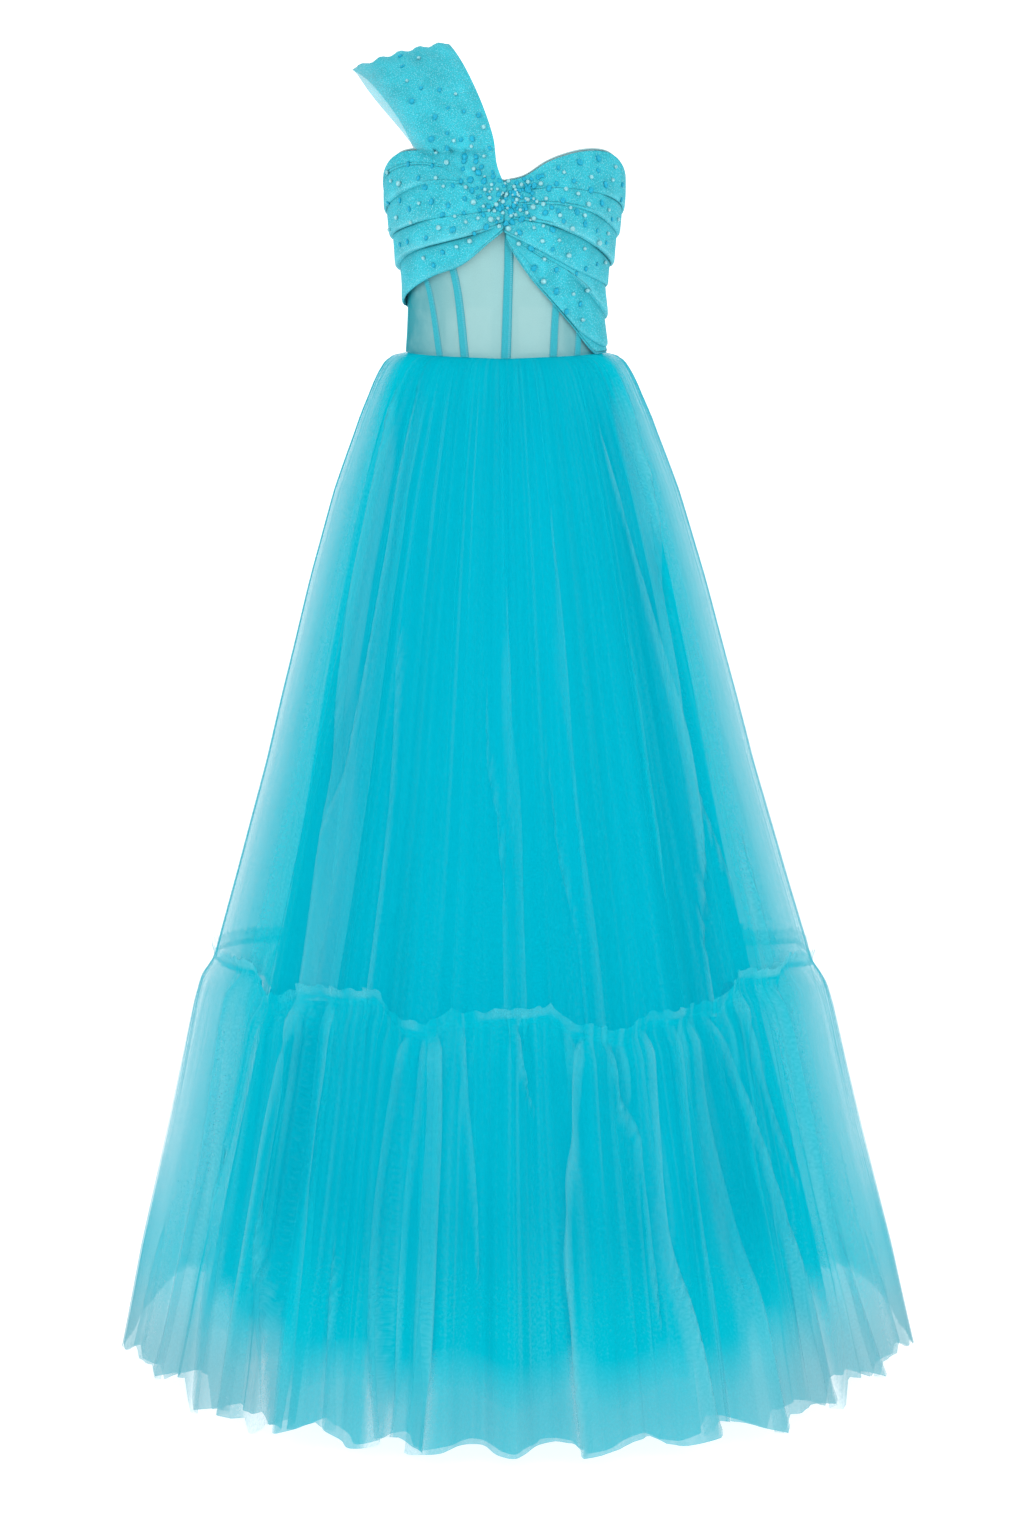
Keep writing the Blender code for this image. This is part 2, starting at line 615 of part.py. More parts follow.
# ---------------------------------------------------------------- skirt
def fold_columns(first_angle, last_angle, folds):
    """Angles and levels, -1 to 1, across a panel that starts and ends on a fold's crest."""
    forms = [FOLD_FORMS[fold % len(FOLD_FORMS)] for fold in range(folds)]
    total = sum(form.width for form in forms)
    places = [0.0]
    levels = [FOLD_FORMS[0].height]
    start = 0.0
    for form, following in zip(forms, forms[1:] + forms[:1]):
        slope = 0.5 * (1.0 - form.crest - TROUGH_SHARE)
        half_crest = 0.5 * form.crest
        for share, level in (
            (half_crest, form.height),
            (half_crest + slope, -form.height),
            (half_crest + slope + TROUGH_SHARE, -form.height),
            (1.0 - half_crest, following.height),
        ):
            places.append(start + form.width * share)
            levels.append(level)
        start += form.width
    places.append(start)
    levels.append(FOLD_FORMS[0].height)
    inset = math.degrees(0.5 * SEAM_GAP / SKIRT[0].half_width)
    angle = first_angle + (last_angle - first_angle) * np.array(places) / total
    angle[0] += inset
    angle[-1] -= inset
    return angle, np.array(levels)


def ring(angle, drop, half_width, depth, push, tilt):
    """Points round a skirt section, each pushed out and up by its fold."""
    turn = np.radians(angle)
    x = SKIRT_LEAN * drop + half_width * np.sin(turn)
    y = -depth * np.cos(turn)
    out_x = depth * np.sin(turn)
    out_y = -half_width * np.cos(turn)
    length = np.hypot(out_x, out_y)
    level = push * math.cos(math.radians(tilt))
    z = -drop + push * math.sin(math.radians(tilt))
    return np.stack([x + out_x / length * level, y + out_y / length * level, z], axis=-1)


def dip_share(drop):
    """How much of the waist seam's dip a ring still shows."""
    return max(0.0, 1.0 - drop / WAIST_DIP_DROP)


def skirt_ring(angle, levels, drop, waist_share, more=0.0):
    """A ring of the upper tier; near the top it follows the waist seam's dip."""
    width = read_straight(SKIRT, "half_width", drop)
    depth = read_straight(SKIRT, "depth", drop)
    fold = read_straight(SKIRT, "fold", drop)
    tilt = float(np.mean(read_straight(SKIRT, "tilt", drop)))
    points = ring(angle, drop + 0.0 * angle, width, depth, levels * fold + more, tilt)
    points[:, 2] += waist_share * mirrored_edge(WAIST, angle)
    return points


def build_skirt_tier(panel):
    angle, levels = fold_columns(panel.first_angle, panel.last_angle, panel.skirt_folds)
    seam = read_straight(FLOUNCE_SEAM, "drop", angle)
    rows = []
    for section in SKIRT[:SKIRT_FREE_SECTIONS]:
        rows.append(skirt_ring(angle, levels, section.drop, dip_share(section.drop)))
    rows.append(skirt_ring(angle, levels, seam - SKIRT_LAST_RISE, 0.0, levels * SKIRT_LAST_FOLD))
    rows.append(skirt_ring(angle, levels, seam + SKIRT_TURNING, 0.0))
    return cloth_sheet("skirt_" + panel.name, np.array(rows), TULLE)


def build_flounce(panel):
    """The flounce hangs from a stitch line; above it stands a short gathered header."""
    angle, levels = fold_columns(panel.first_angle, panel.last_angle, panel.flounce_folds)
    seam = read_straight(FLOUNCE_SEAM, "drop", angle)
    width = read_straight(SKIRT, "half_width", seam)
    depth = read_straight(SKIRT, "depth", seam)
    tallest = max(form.height for form in FOLD_FORMS)
    waves = tallest * (SKIRT[-1].fold + SKIRT_STITCH_FOLD + FLOUNCE[0].fold)
    top = width + CLOTH + waves + FLOUNCE_SEAT
    rows = [
        ring(angle, seam - HEADER_HEIGHT, top + HEADER_SPREAD, top + HEADER_SPREAD + depth - width,
             levels * HEADER_FOLD, FLOUNCE_TILT)
    ]
    for section in FLOUNCE:
        drop = seam + section.share * (HEM_DROP - seam)
        half = top + section.spread
        push = levels * section.fold
        row = ring(angle, drop, half, half + depth - width, push, FLOUNCE_TILT)
        row[:, 2] -= section.share * HEM_WAVE * levels
        rows.append(row)
    return cloth_sheet("flounce_" + panel.name, np.array(rows), TULLE)


def build_lining(name, first_angle, last_angle):
    """One piece of the plain slip under the skirt, with soft ripples."""
    quarters = round((last_angle - first_angle) / 90.0)
    angle, levels = fold_columns(first_angle, last_angle, quarters * LINING_QUARTER_RIPPLES)
    rows = []
    for section in LINING:
        row = ring(angle, section.drop + 0.0 * angle, section.half_width, section.depth,
                   section.ripple * levels, 0.0)
        row[:, 2] += dip_share(section.drop) * mirrored_edge(WAIST, angle)
        rows.append(row)
    return cloth_sheet(name, np.array(rows), SATIN)


# ---------------------------------------------------------------- the whole gown
for old in list(bpy.data.objects):
    bpy.data.objects.remove(old, do_unlink=True)
gown = bpy.data.collections.new("ball_gown")
bpy.context.scene.collection.children.link(gown)

for panel_name, first_seam, last_seam in zip(CORSET_PANELS, CORSET_SEAMS, CORSET_SEAMS[1:]):
    build_corset_panel(panel_name, first_seam, last_seam)
for corset_seam in CORSET_SEAMS[1:-1]:
    build_bone(corset_seam)
build_drapes()
build_sash_tail()
build_strap()
build_zip_tape()
for skirt_panel in SKIRT_PANELS:
    build_skirt_tier(skirt_panel)
    build_flounce(skirt_panel)
build_lining("lining_front", -90.0, 90.0)
build_lining("lining_back_left", 90.0, 180.0)
build_lining("lining_back_right", -180.0, -90.0)
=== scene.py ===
"""Looks of a tulle ball gown: gathered see-through skirt tiers over a satin lining, a boned mesh
corset, pleated drapes with a strap and a sash tail, and sewn-on beads.

Metres, +Z up, the front faces -Y, and the origin is the middle of the waist. Right and left are
the wearer's. An angle round the body is 0 at the centre front and +90 at the left side.
"""

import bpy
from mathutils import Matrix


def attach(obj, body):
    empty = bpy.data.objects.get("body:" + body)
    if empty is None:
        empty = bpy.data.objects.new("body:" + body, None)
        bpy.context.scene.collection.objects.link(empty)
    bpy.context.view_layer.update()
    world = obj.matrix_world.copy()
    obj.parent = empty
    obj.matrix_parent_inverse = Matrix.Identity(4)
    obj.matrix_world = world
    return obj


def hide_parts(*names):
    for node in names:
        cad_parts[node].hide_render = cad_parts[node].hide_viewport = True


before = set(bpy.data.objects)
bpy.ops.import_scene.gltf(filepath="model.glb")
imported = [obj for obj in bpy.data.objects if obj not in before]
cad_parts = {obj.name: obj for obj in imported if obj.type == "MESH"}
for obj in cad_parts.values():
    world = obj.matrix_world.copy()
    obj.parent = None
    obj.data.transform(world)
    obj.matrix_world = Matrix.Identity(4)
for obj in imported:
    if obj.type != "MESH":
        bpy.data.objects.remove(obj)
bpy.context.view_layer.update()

import math
from collections import namedtuple

import bpy
import numpy as np
from bpy.props import FloatProperty, FloatVectorProperty, IntProperty, PointerProperty
from mathutils import Vector
from mathutils.bvhtree import BVHTree

bl_info = {
    "name": "Ball gown",
    "version": (1, 0, 0),
    "blender": (4, 5, 0),
    "location": "3D View > Sidebar > Gown",
    "description": "Makes the cloth, bones, beads and stage of a tulle ball gown",
    "category": "Add Mesh",
}
MM = 0.001


def table(columns, *rows):
    """Rows of values under named columns."""
    kind = namedtuple("Row", columns)
    return tuple(kind(*row) for row in rows)


def table_mm(columns, *rows):
    """The same, for lengths given in millimetres and kept in metres."""
    return table(columns, *([MM * value for value in row] for row in rows))


def line(*rows):
    """An edge or a crease: its height by the angle from the centre front."""
    return table("angle height", *rows)


# ---------------------------------------------------------------- the body under the cloth
BODY = table_mm(
    "height half_width front_depth back_depth",
    (-10, 109, 81.2, 81.2), (0, 108.8, 81, 81), (30, 107, 81.2, 81.5), (60, 106.2, 83, 84),
    (85, 107.5, 85, 88.5), (110, 112.5, 87, 93.5), (140, 119.5, 88.5, 99),
    (170, 125.5, 88.5, 103.5), (200, 128.5, 87, 106), (230, 129, 85, 106))
# The two cups, and how much of their depth they add to the half width.
CUP_ANGLE = 37.0
CUP_SPREAD = 25.0
CUP_HEIGHT = 0.142
CUP_RISE = 0.050
CUP_DEPTH = 0.024
CUP_SIDE_SHARE = 0.4
# Steps for finding the outward direction, in degrees and in metres.
NORMAL_TURN = 0.5
NORMAL_RISE = 0.002
SIDE_ANGLE = 98.0
# How far outside the inner face the mesh and the bone channels lie.
MESH_OUT = 0.0009
CHANNEL_OUT = 0.0011

NECKLINE = line(
    (0, 0.188), (9, 0.193), (20, 0.2085), (33, 0.219), (47, 0.2235), (60, 0.2215), (73, 0.212),
    (90, 0.196), (115, 0.181), (145, 0.169), (180, 0.164))
WAIST = line((0, -0.004), (45, -0.0005), (90, 0.0035), (180, 0.002))
DRAPE_EDGE = line((0, 0.137), (8, 0.124), (22, 0.102), (40, 0.09), (60, 0.0765), (90, 0.059),
                  (180, 0.056))
SASH_TOP = line((0, 0.134), (18, 0.116), (41, 0.095), (65, 0.083), (90, 0.077))
SASH_BOTTOM = line((0, 0.13), (5, 0.112), (14, 0.087), (27, 0.06), (42, 0.032), (58, 0.005),
                   (90, 0.0045))

# Creases of the drapes, where an upper fold lies over the one below it.
Crease = namedtuple("Crease", "lift fade_in path")


def crease(lift, fade_in, *path):
    return Crease(lift, fade_in, line(*path))


RIGHT_CREASES = (
    crease(0.0046, 1, (0, 0.142), (13, 0.133), (31, 0.1245), (52, 0.116), (88, 0.1), (98, 0.096)),
    crease(0.0036, 30, (0, 0.158), (15, 0.153), (34, 0.148), (48, 0.143), (88, 0.133), (98, 0.13)),
    crease(0.003, 30, (0, 0.17), (20, 0.183), (40, 0.1835), (52, 0.178), (88, 0.161), (98, 0.156)),
    crease(0.0016, 56, (0, 0.18), (20, 0.196), (45, 0.206), (66, 0.202), (88, 0.186), (98, 0.174)),
)
LEFT_CREASES = (
    crease(0.0044, 12, (0, 0.148), (21, 0.142), (33, 0.134), (52, 0.12), (69, 0.11), (98, 0.1)),
    crease(0.003, 34, (0, 0.16), (21, 0.162), (41, 0.156), (59, 0.146), (72, 0.14), (98, 0.131)),
    crease(0.0024, 44, (0, 0.174), (21, 0.179), (45, 0.176), (70, 0.169), (98, 0.156)),
)
TAIL_CREASES = (
    crease(0.002, 24, (0, 0.131), (15, 0.095), (35, 0.045), (54, 0.02), (67, 0.012), (98, 0.011)),
    crease(0.004, 30, (0, 0.133), (18, 0.11), (40, 0.088), (58, 0.067), (70, 0.055), (98, 0.04)),
)
BACK_CREASES = (
    crease(0.0024, -1, (90, 0.099), (98, 0.096), (180, 0.09)),
    crease(0.0024, -1, (90, 0.132), (98, 0.13), (180, 0.118)),
    crease(0.0018, -1, (90, 0.159), (98, 0.156), (180, 0.142)),
)

CORSET_SEAMS = table(
    "bone waist middle neck",
    (None, -180, -180, -180),
    ("bone_side_back_right", -139, -140, -142),
    ("bone_side_right", -SIDE_ANGLE, -SIDE_ANGLE, -SIDE_ANGLE),
    ("bone_side_front_right", -40.5, -55, -61),
    ("bone_front_right", -23.5, -31, -35),
    ("bone_centre", 0.6, 2.3, 2.5),
    ("bone_front_left", 29, 34, 37),
    ("bone_side_front_left", 46.5, 56, 62),
    ("bone_side_left", SIDE_ANGLE, SIDE_ANGLE, SIDE_ANGLE),
    ("bone_side_back_left", 139, 140, 142),
    (None, 180, 180, 180))
CORSET_PANELS = (
    "back_right", "side_back_right", "side_right", "side_front_right", "centre_front_right",
    "centre_front_left", "side_front_left", "side_left", "side_back_left", "back_left",
)

# Both edges of the strap, from the crossing over the right shoulder to the back.
STRAP = table_mm(
    "inner_x inner_y inner_z outer_x outer_y outer_z pleat",
    (2, -80, 178, -18, -80, 152, 0.6), (-8, -98, 204, -87, -90, 213, 0.8),
    (-12.5, -99, 235, -115, -90, 245, 1), (-26, -78, 275, -144, -64, 280, 1.4),
    (-45, -42, 316, -162, -30, 306, 2.2), (-62, 5, 342, -168, 4, 313, 3),
    (-62, 48, 330, -148, 40, 300, 2.2), (-50, 85, 282, -116, 74, 258, 1.4),
    (-39, 106, 218, -96, 85, 208, 1), (-34, 90, 148, -86, 80, 148, 0.8))
STRAP_PLEATS = 5
STRAP_CROWN = 0.004
STRAP_FREE_HEIGHT = 0.232
# A place inside the shoulder, which the strap's pleats stand away from.
SHOULDER = (-0.08, 0.0, 0.15)

# ---------------------------------------------------------------- the skirt's outline
SKIRT_OUTLINE = table_mm(
    "drop half_width gap",
    (0, 110.5, 27.8), (2, 121.5, 27.8), (5, 129, 27), (10, 134.5, 26.2), (21, 142, 25.5),
    (30, 147, 25), (48, 155, 24), (66, 163, 23), (83, 169, 22), (117, 182, 20.5),
    (150, 194, 19.5), (184, 204, 18.7), (251, 223.5, 17.5), (319, 241, 16.5), (387, 259, 15.7),
    (455, 276, 15), (523, 295.5, 15.2), (592, 315, 15.7), (660, 335, 16.3), (720, 350, 16.8))
FLOUNCE_OUTLINE = table_mm(
    "drop half_width gap",
    (650, 342, 16.5), (695, 354, 16.8), (730, 364, 17), (764, 371.5, 17), (799, 379, 17),
    (869, 395, 17), (939, 412, 17), (1009, 429, 17), (1080, 444, 17), (1130, 455, 17))
LINING_OUTLINE = table_mm(
    "drop half_width gap",
    (0.3, 107.9, 27.8), (30, 122.5, 27.5), (150, 160, 26), (300, 193, 24), (550, 239, 21),
    (1058, 352, 18), (1100, 360, 18))
SEAM_DROPS = table(
    "angle drop",
    (-180, 0.684), (-158, 0.676), (-140, 0.694), (-118, 0.682), (-96, 0.672), (-80, 0.668),
    (-57, 0.666), (-52, 0.696), (-46, 0.692), (-41, 0.679), (-26, 0.677), (-22, 0.701),
    (-15, 0.708), (-11, 0.694), (2, 0.692), (7, 0.686), (10, 0.705), (19, 0.715), (25, 0.7),
    (40, 0.696), (46, 0.668), (58, 0.673), (64, 0.662), (84, 0.677), (104, 0.671), (122, 0.689),
    (146, 0.679), (164, 0.695), (180, 0.684))
# How far the skirt leans to the left for each metre of drop.
SKIRT_LEAN = 0.0125
SKIRT_TURNING = 0.006
# Powers that crowd the rows of cloth together at the top.
SKIRT_CROWDING = 1.55
FLOUNCE_CROWDING = 1.5
# Drops, and how many gaps further in the upper tier's inner layer hangs there.
SKIRT_APART = ((0.0, 0.12, 0.6), (0.0, 0.9, 1.4))
HEM_DROP = 1.127
LINING_LENGTH = 1.098
WAIST_DIP_DROP = 0.05
# Rows of the header above the stitch line, as shares of the flounce's length.
HEADER_ROWS = (-0.026, -0.018, -0.010, -0.004)
HEADER_HEIGHT = 0.011
HEADER_SPREAD = 0.0030
HEADER_FRILL = 0.0020
# How pale the header's frill is painted, a painted highlight on its ruffle.
HEADER_LIGHT = 0.40
SEAM_CLEARANCE = 0.0012
# How pale the painted highlight lines along the crests are, and how much streaks change the tone.
TONE_LINE = 0.30
TONE_GRAIN = 0.22
# Share of a layer's brightness painted as the net's own glow, standing in for light that comes
# through the net from behind it.
NET_GLOW = 0.40
# How much closer the layers lie at the far sides, and how much clearer the net is folded under.
SIDE_CLOSING = 0.93
UNDER_CLEAR = 0.72

# Folds laid over, listed one by one. Side -1 shows the left edge of the upper layer and +1 the
# right edge.
# By drop: that edge's angle, the degrees of cloth that lie threefold, and the width of the pale
# band, a painted highlight.
Lap = namedtuple("Lap", "side pale rows")


def lap(side, pale, *rows):
    return Lap(side, pale, table("drop edge width band", *rows))


SKIRT_LAPS = (
    lap(-1, 0.72, (0.03, -55, 1.5, 3), (0.11, -50.5, 2.5, 7), (0.25, -49.3, 3, 7),
        (0.38, -47.4, 3, 8.5), (0.5, -44.3, 3, 9.5), (0.64, -42.4, 2.5, 8.5), (0.72, -42, 1.5, 8)),
    lap(1, 0.36, (0.12, -34.6, 0, 3), (0.2, -34.4, 1.2, 4), (0.5, -34, 1.5, 5),
        (0.72, -34.2, 1, 5)),
    lap(-1, 0.75, (0.03, -40.5, 0.5, 0.8), (0.09, -39.3, 1, 1.2), (0.2, -38.3, 1, 1),
        (0.35, -39.9, 1, 1.3), (0.5, -40.8, 0, 1.3), (0.63, -42, 0, 1), (0.72, -42, 0, 0.8)),
    lap(-1, 0.5, (0.27, -30.3, 0, 0), (0.33, -29.9, 1, 1), (0.45, -28.6, 0.9, 0.9),
        (0.64, -28.2, 0.9, 0.9), (0.72, -28.2, 0.8, 0.8)),
    lap(1, 0.36, (0, 0.1, 0.5, 0.4), (0.27, 0.1, 0.8, 0.6), (0.33, 0.3, 1.4, 2.6),
        (0.45, 1.4, 1.5, 2.6), (0.55, 2.2, 1.2, 1.6), (0.72, 3, 1.2, 1.4)),
    lap(-1, 0.34, (0.32, -5.8, 0, 0), (0.45, -4.5, 0.8, 0.8), (0.55, -2.4, 0.9, 0.8),
        (0.72, -1.5, 0.7, 0.7)),
    lap(1, 0.34, (0.16, 15, 0, 0), (0.25, 15.1, 1, 2.6), (0.36, 15.1, 1.2, 3.2),
        (0.44, 15.3, 0.8, 1), (0.6, 16.3, 1, 1.2), (0.72, 16.5, 1, 1)),
    lap(-1, 0.24, (0.4, 8.2, 0, 0), (0.46, 8.6, 0.6, 0.7), (0.6, 11.6, 0.7, 0.7),
        (0.72, 12.3, 0.6, 0.6)),
    lap(1, 0.34, (0.28, 35.5, 0, 0), (0.33, 35.2, 0.9, 0.9), (0.45, 33.9, 1, 1),
        (0.52, 33, 0.9, 0.8), (0.58, 32.4, 0, 0)),
    lap(1, 0.75, (0.07, 39.2, 0, 0), (0.12, 39.9, 0.8, 0.9), (0.22, 42.3, 1.2, 1.4),
        (0.33, 44.5, 1.6, 2.2), (0.42, 46, 1.8, 2.9), (0.5, 45, 1.6, 2.2), (0.55, 43.6, 1, 1.2),
        (0.62, 41, 0.9, 0.9), (0.72, 39.8, 0.8, 0.8)),
    lap(1, 0.74, (0.01, 60, 1.5, 4), (0.06, 60.5, 2.4, 12), (0.13, 57, 2.8, 13),
        (0.2, 53.9, 2.8, 10), (0.27, 50.7, 2.4, 6.5), (0.34, 48.4, 1.6, 2.5), (0.42, 48.2, 1, 1),
        (0.5, 50.5, 0.9, 0.9), (0.6, 52, 0, 0)),
    lap(1, 0.3, (0.52, 60, 0, 0), (0.6, 60, 1.8, 5), (0.72, 58.5, 2.2, 6)),
)
FLOUNCE_LAPS = (
    lap(-1, 0.4, (0.67, -62.4, 1.8, 5), (0.8, -61.6, 2.6, 8), (0.9, -61.2, 3, 8.5),
        (1, -61, 2.6, 7), (1.13, -61.7, 2.2, 6)),
    lap(-1, 0.36, (0.84, -53.4, 0, 0), (0.9, -52.9, 1.4, 1.6), (1, -52.2, 2.2, 3.6),
        (1.13, -51.5, 2.4, 7)),
    lap(-1, 0.66, (0.67, -41.1, 1.4, 2.6), (0.74, -43.5, 1.4, 2), (0.81, -44.9, 1.3, 1.4),
        (0.92, -45.1, 1.3, 1.2), (1.13, -44.6, 1.4, 1.2)),
    lap(-1, 0.34, (0.88, -42.6, 0, 0), (0.95, -41.6, 1.2, 1.5), (1.03, -40.4, 2, 3),
        (1.13, -39.2, 2.3, 6)),
    lap(1, 0.66, (0.67, -34.3, 1.6, 3), (0.74, -33.8, 1.6, 2.6), (0.85, -33.2, 1.5, 2),
        (0.92, -34, 1.3, 1.2), (1.03, -34.4, 1.2, 1), (1.13, -34, 0.8, 0.8)),
    lap(-1, 0.28, (0.92, -29, 0, 0), (1, -28.7, 1.2, 1), (1.06, -28.4, 1.6, 1.5),
        (1.13, -28, 2, 4)),
    lap(1, 0.5, (0.69, -12.6, 1.2, 1.8), (0.75, -11.8, 2, 3.8), (0.9, -11.4, 2.2, 4),
        (1.05, -11.6, 2.2, 3.4), (1.13, -12.2, 2.4, 3)),
    lap(-1, 0.4, (0.69, -19.5, 1.1, 1.2), (0.8, -21, 1.1, 1.1), (0.86, -21.7, 1.2, 1.1),
        (1, -21.5, 1.4, 1.2), (1.13, -20.6, 2, 1.4)),
    lap(-1, 0.34, (0.69, -16.8, 0.7, 0.8), (0.9, -18, 0.8, 0.8), (1.13, -18, 0.8, 0.8)),
    lap(1, 0.4, (0.68, -8.2, 1.1, 1.5), (0.75, -7.4, 1, 1.2), (0.88, -5.8, 0.8, 0.8),
        (0.98, -5, 0, 0)),
    lap(1, 0.42, (0.68, 0.8, 1.1, 1.4), (0.74, 2, 0.9, 1), (0.8, 4.5, 0, 0)),
    lap(-1, 0.7, (0.69, 11.2, 1.3, 2), (0.79, 9.2, 1.2, 1.6), (0.93, 6.8, 1.2, 1.3),
        (1.03, 7.4, 1.3, 1.3), (1.13, 8.2, 1.8, 1.5)),
    lap(1, 0.5, (0.69, 18.6, 1.4, 2.8), (0.76, 18.2, 1.1, 1.4), (0.83, 20.4, 1, 1),
        (0.93, 21.2, 0.9, 0.9), (1.02, 21.2, 0, 0)),
    lap(1, 0.66, (0.69, 25.1, 1.2, 1.5), (0.82, 24, 1.2, 1.3), (0.92, 23.8, 1.3, 2),
        (1, 26, 1.5, 2.8), (1.13, 28.2, 1.9, 3)),
    lap(1, 0.38, (0.69, 30.2, 1, 1.2), (0.85, 30, 0.9, 0.9), (1, 30.6, 0.6, 0.7)),
    lap(1, 0.46, (0.69, 34.4, 1.2, 1.5), (0.79, 34, 1.5, 2.4), (0.9, 35.3, 2, 3.4),
        (1, 37.6, 2.2, 5), (1.13, 38.9, 2.4, 7)),
    lap(1, 0.54, (0.69, 38.9, 1.2, 1.5), (0.79, 42, 1.4, 1.8), (0.85, 45, 1.6, 2.2),
        (0.92, 47.4, 1.9, 3.2), (1, 49.8, 2.2, 5), (1.13, 51.5, 2.4, 7.5)),
    lap(1, 0.46, (0.69, 46.6, 1.4, 2.4), (0.8, 49.4, 1.1, 1.4), (0.9, 51, 0, 0)),
    lap(1, 0.4, (0.67, 58, 2, 3.6), (0.72, 56.6, 2, 4), (0.82, 56.6, 2.2, 4),
        (0.93, 58, 2.2, 4.6), (1.03, 60, 2.3, 5.5), (1.13, 61.9, 2.4, 7)),
    lap(1, 0.2, (0.96, 67, 0, 0), (1.04, 68, 1.6, 2.5), (1.13, 68.6, 2, 4.5)),
    lap(-1, 0.2, (0.96, -68, 0, 0), (1.04, -68.6, 1.6, 2.5), (1.13, -68.8, 2, 4.5)),
)
# A laid fold's reach by its width, how much of it slips along, and what brings its wave up to 1.
LAP_REACH = 1.62
LAP_SLIP = 0.60
LAP_SHAPE = 0.77
# A fold's lift: its base, what each degree of width adds, and the most that it may be.
LAP_LIFT = (0.0008, 0.0011, 0.0080)
# The back hangs like the front, turned by this many degrees and this much narrower.
BACK_TURN = 184.0
BACK_SHARE = 0.96
# Laid folds nearer to the middle than this have no like on the back.
FRONT_ONLY = 9.0

# How much lower than the mean the hem hangs, by place round the cloth, stepping at each large fold.
HEM_LINE = table(
    "angle lower",
    (-90, 0.004), (-82, -0.011), (-74, -0.027), (-67.4, -0.04), (-66.8, -0.028), (-61.8, -0.034),
    (-61.2, -0.018), (-51.9, -0.037), (-51.3, 0), (-39.4, -0.013), (-38.8, 0.005),
    (-28.5, -0.014), (-27.9, -0.007), (-23.9, -0.001), (-16.7, -0.006), (-14.5, 0), (-8, -0.003),
    (0, -0.001), (7.6, -0.008), (8.4, -0.001), (18.3, -0.007), (20.5, 0), (27.9, -0.009),
    (28.4, -0.018), (38.7, 0.002), (39.3, -0.017), (51.4, -0.002), (52, -0.037), (61.7, -0.02),
    (62.3, -0.034), (67.6, -0.03), (68.2, -0.042), (78, -0.023), (87, -0.006), (90, 0))
# How much of the light one layer of net stops, by the angle from the centre front or back.
NET_COVER = table(
    "aside tier flounce hem",
    (0, 0.24, 0.26, 0.69), (30, 0.24, 0.26, 0.69), (42, 0.24, 0.28, 0.67),
    (50, 0.38, 0.42, 0.66), (53.5, 0.64, 0.64, 0.66), (58, 0.58, 0.58, 0.64),
    (62, 0.52, 0.52, 0.6), (66, 0.46, 0.47, 0.55), (72, 0.36, 0.35, 0.46), (78, 0.26, 0.25, 0.4),
    (84, 0.21, 0.21, 0.38), (90, 0.16, 0.17, 0.38))
# How much of the hem's cover the back loses round the sides, where it is seen through the front.
HEM_BACK_CLEAR = 0.30

# Sets of folds: how far they lean, how much flatter they lie round the sides, if they die away,
# and their depths, by the drop from the waist or by the share of the way down the flounce.
FoldSet = namedtuple("FoldSet", "lean calm fades depths")


def fold_set(lean, calm, fades, *depths):
    return FoldSet(lean, calm, fades, table("at depth", *depths))


SKIRT_FOLDS = fold_set(
    0.5, 0.88, False, (0, 0), (0.01, 0.0008), (0.05, 0.003), (0.15, 0.0052), (0.35, 0.0066),
    (0.6, 0.0074), (0.72, 0.0066))
SKIRT_PLEATS = fold_set(
    1.6, 0.6, False, (0, 0.0003), (0.005, 0.001), (0.03, 0.0017), (0.1, 0.0019), (0.3, 0.0018),
    (0.72, 0.0022))
SKIRT_GATHERS = fold_set(
    0.0, 0.6, True, (0, 0.0004), (0.004, 0.001), (0.02, 0.0011), (0.08, 0.0007),
    (0.2, 0.0003), (0.6, 0))
FLOUNCE_FOLDS = fold_set(
    0.5, 0.85, False, (0, 0), (0.04, 0.0026), (0.12, 0.0056), (0.35, 0.0084),
    (0.7, 0.0105), (1, 0.013))
FLOUNCE_PLEATS = fold_set(
    1.6, 0.8, False, (-0.03, 0.0017), (0, 0.0004), (0.03, 0.0024), (0.15, 0.0036), (0.5, 0.003),
    (1, 0.0016))
FLOUNCE_GATHERS = fold_set(
    0.5, 0.8, True, (-0.03, 0.0015), (0, 0.0004), (0.02, 0.0016), (0.1, 0.0014), (0.35, 0.0006),
    (0.7, 0))
LINING_FOLDS = 16
LINING_LEAN = 0.8
LINING_DEPTH = 0.0135
# How much the lining's folds lift its hem, and how high above it the satin starts to fade, in
# front and by how much more at the sides.
LINING_HEM_WAVE = 0.010
LINING_FADE = (0.056, 0.034)
# How much the large folds of the flounce lift and sway its hem.
HEM_WAVE = 0.0030
HEM_SWAY = 0.006

PANELS = table("name first last share", ("back_right", -180, -90, 0.25), ("front", -90, 90, 0.5),
               ("back_left", 90, 180, 0.25))

# Layers of tulle: how many gaps further in, the degrees between columns, the rows, a seed, cover
# added to all and at the seam, the shares of pale tone (painted highlights and grain) and of laid
# folds, and the net's seed.
LAYER = "name inwards step rows seed closer seam_cover light laid net_seed"
SKIRT_LAYERS = table(LAYER, ("outer", 0, 0.25, 36, 100, 0.0, 0.0, 1.0, 1.0, 0.0),
                     ("inner", 1, 0.30, 30, 200, 0.06, 0.0, 0.3, 0.3, 31.0))
FLOUNCE_LAYERS = table(LAYER, ("outer", 0, 0.20, 34, 300, 0.0, 0.22, 1.0, 1.0, 61.0),
                       ("inner", 1, 0.30, 26, 400, 0.06, 0.10, 0.3, 0.3, 92.0))
SKIRT_FOLD_SEED = 11
FLOUNCE_FOLD_SEED = 23
LINING_FOLD_SEED = 41

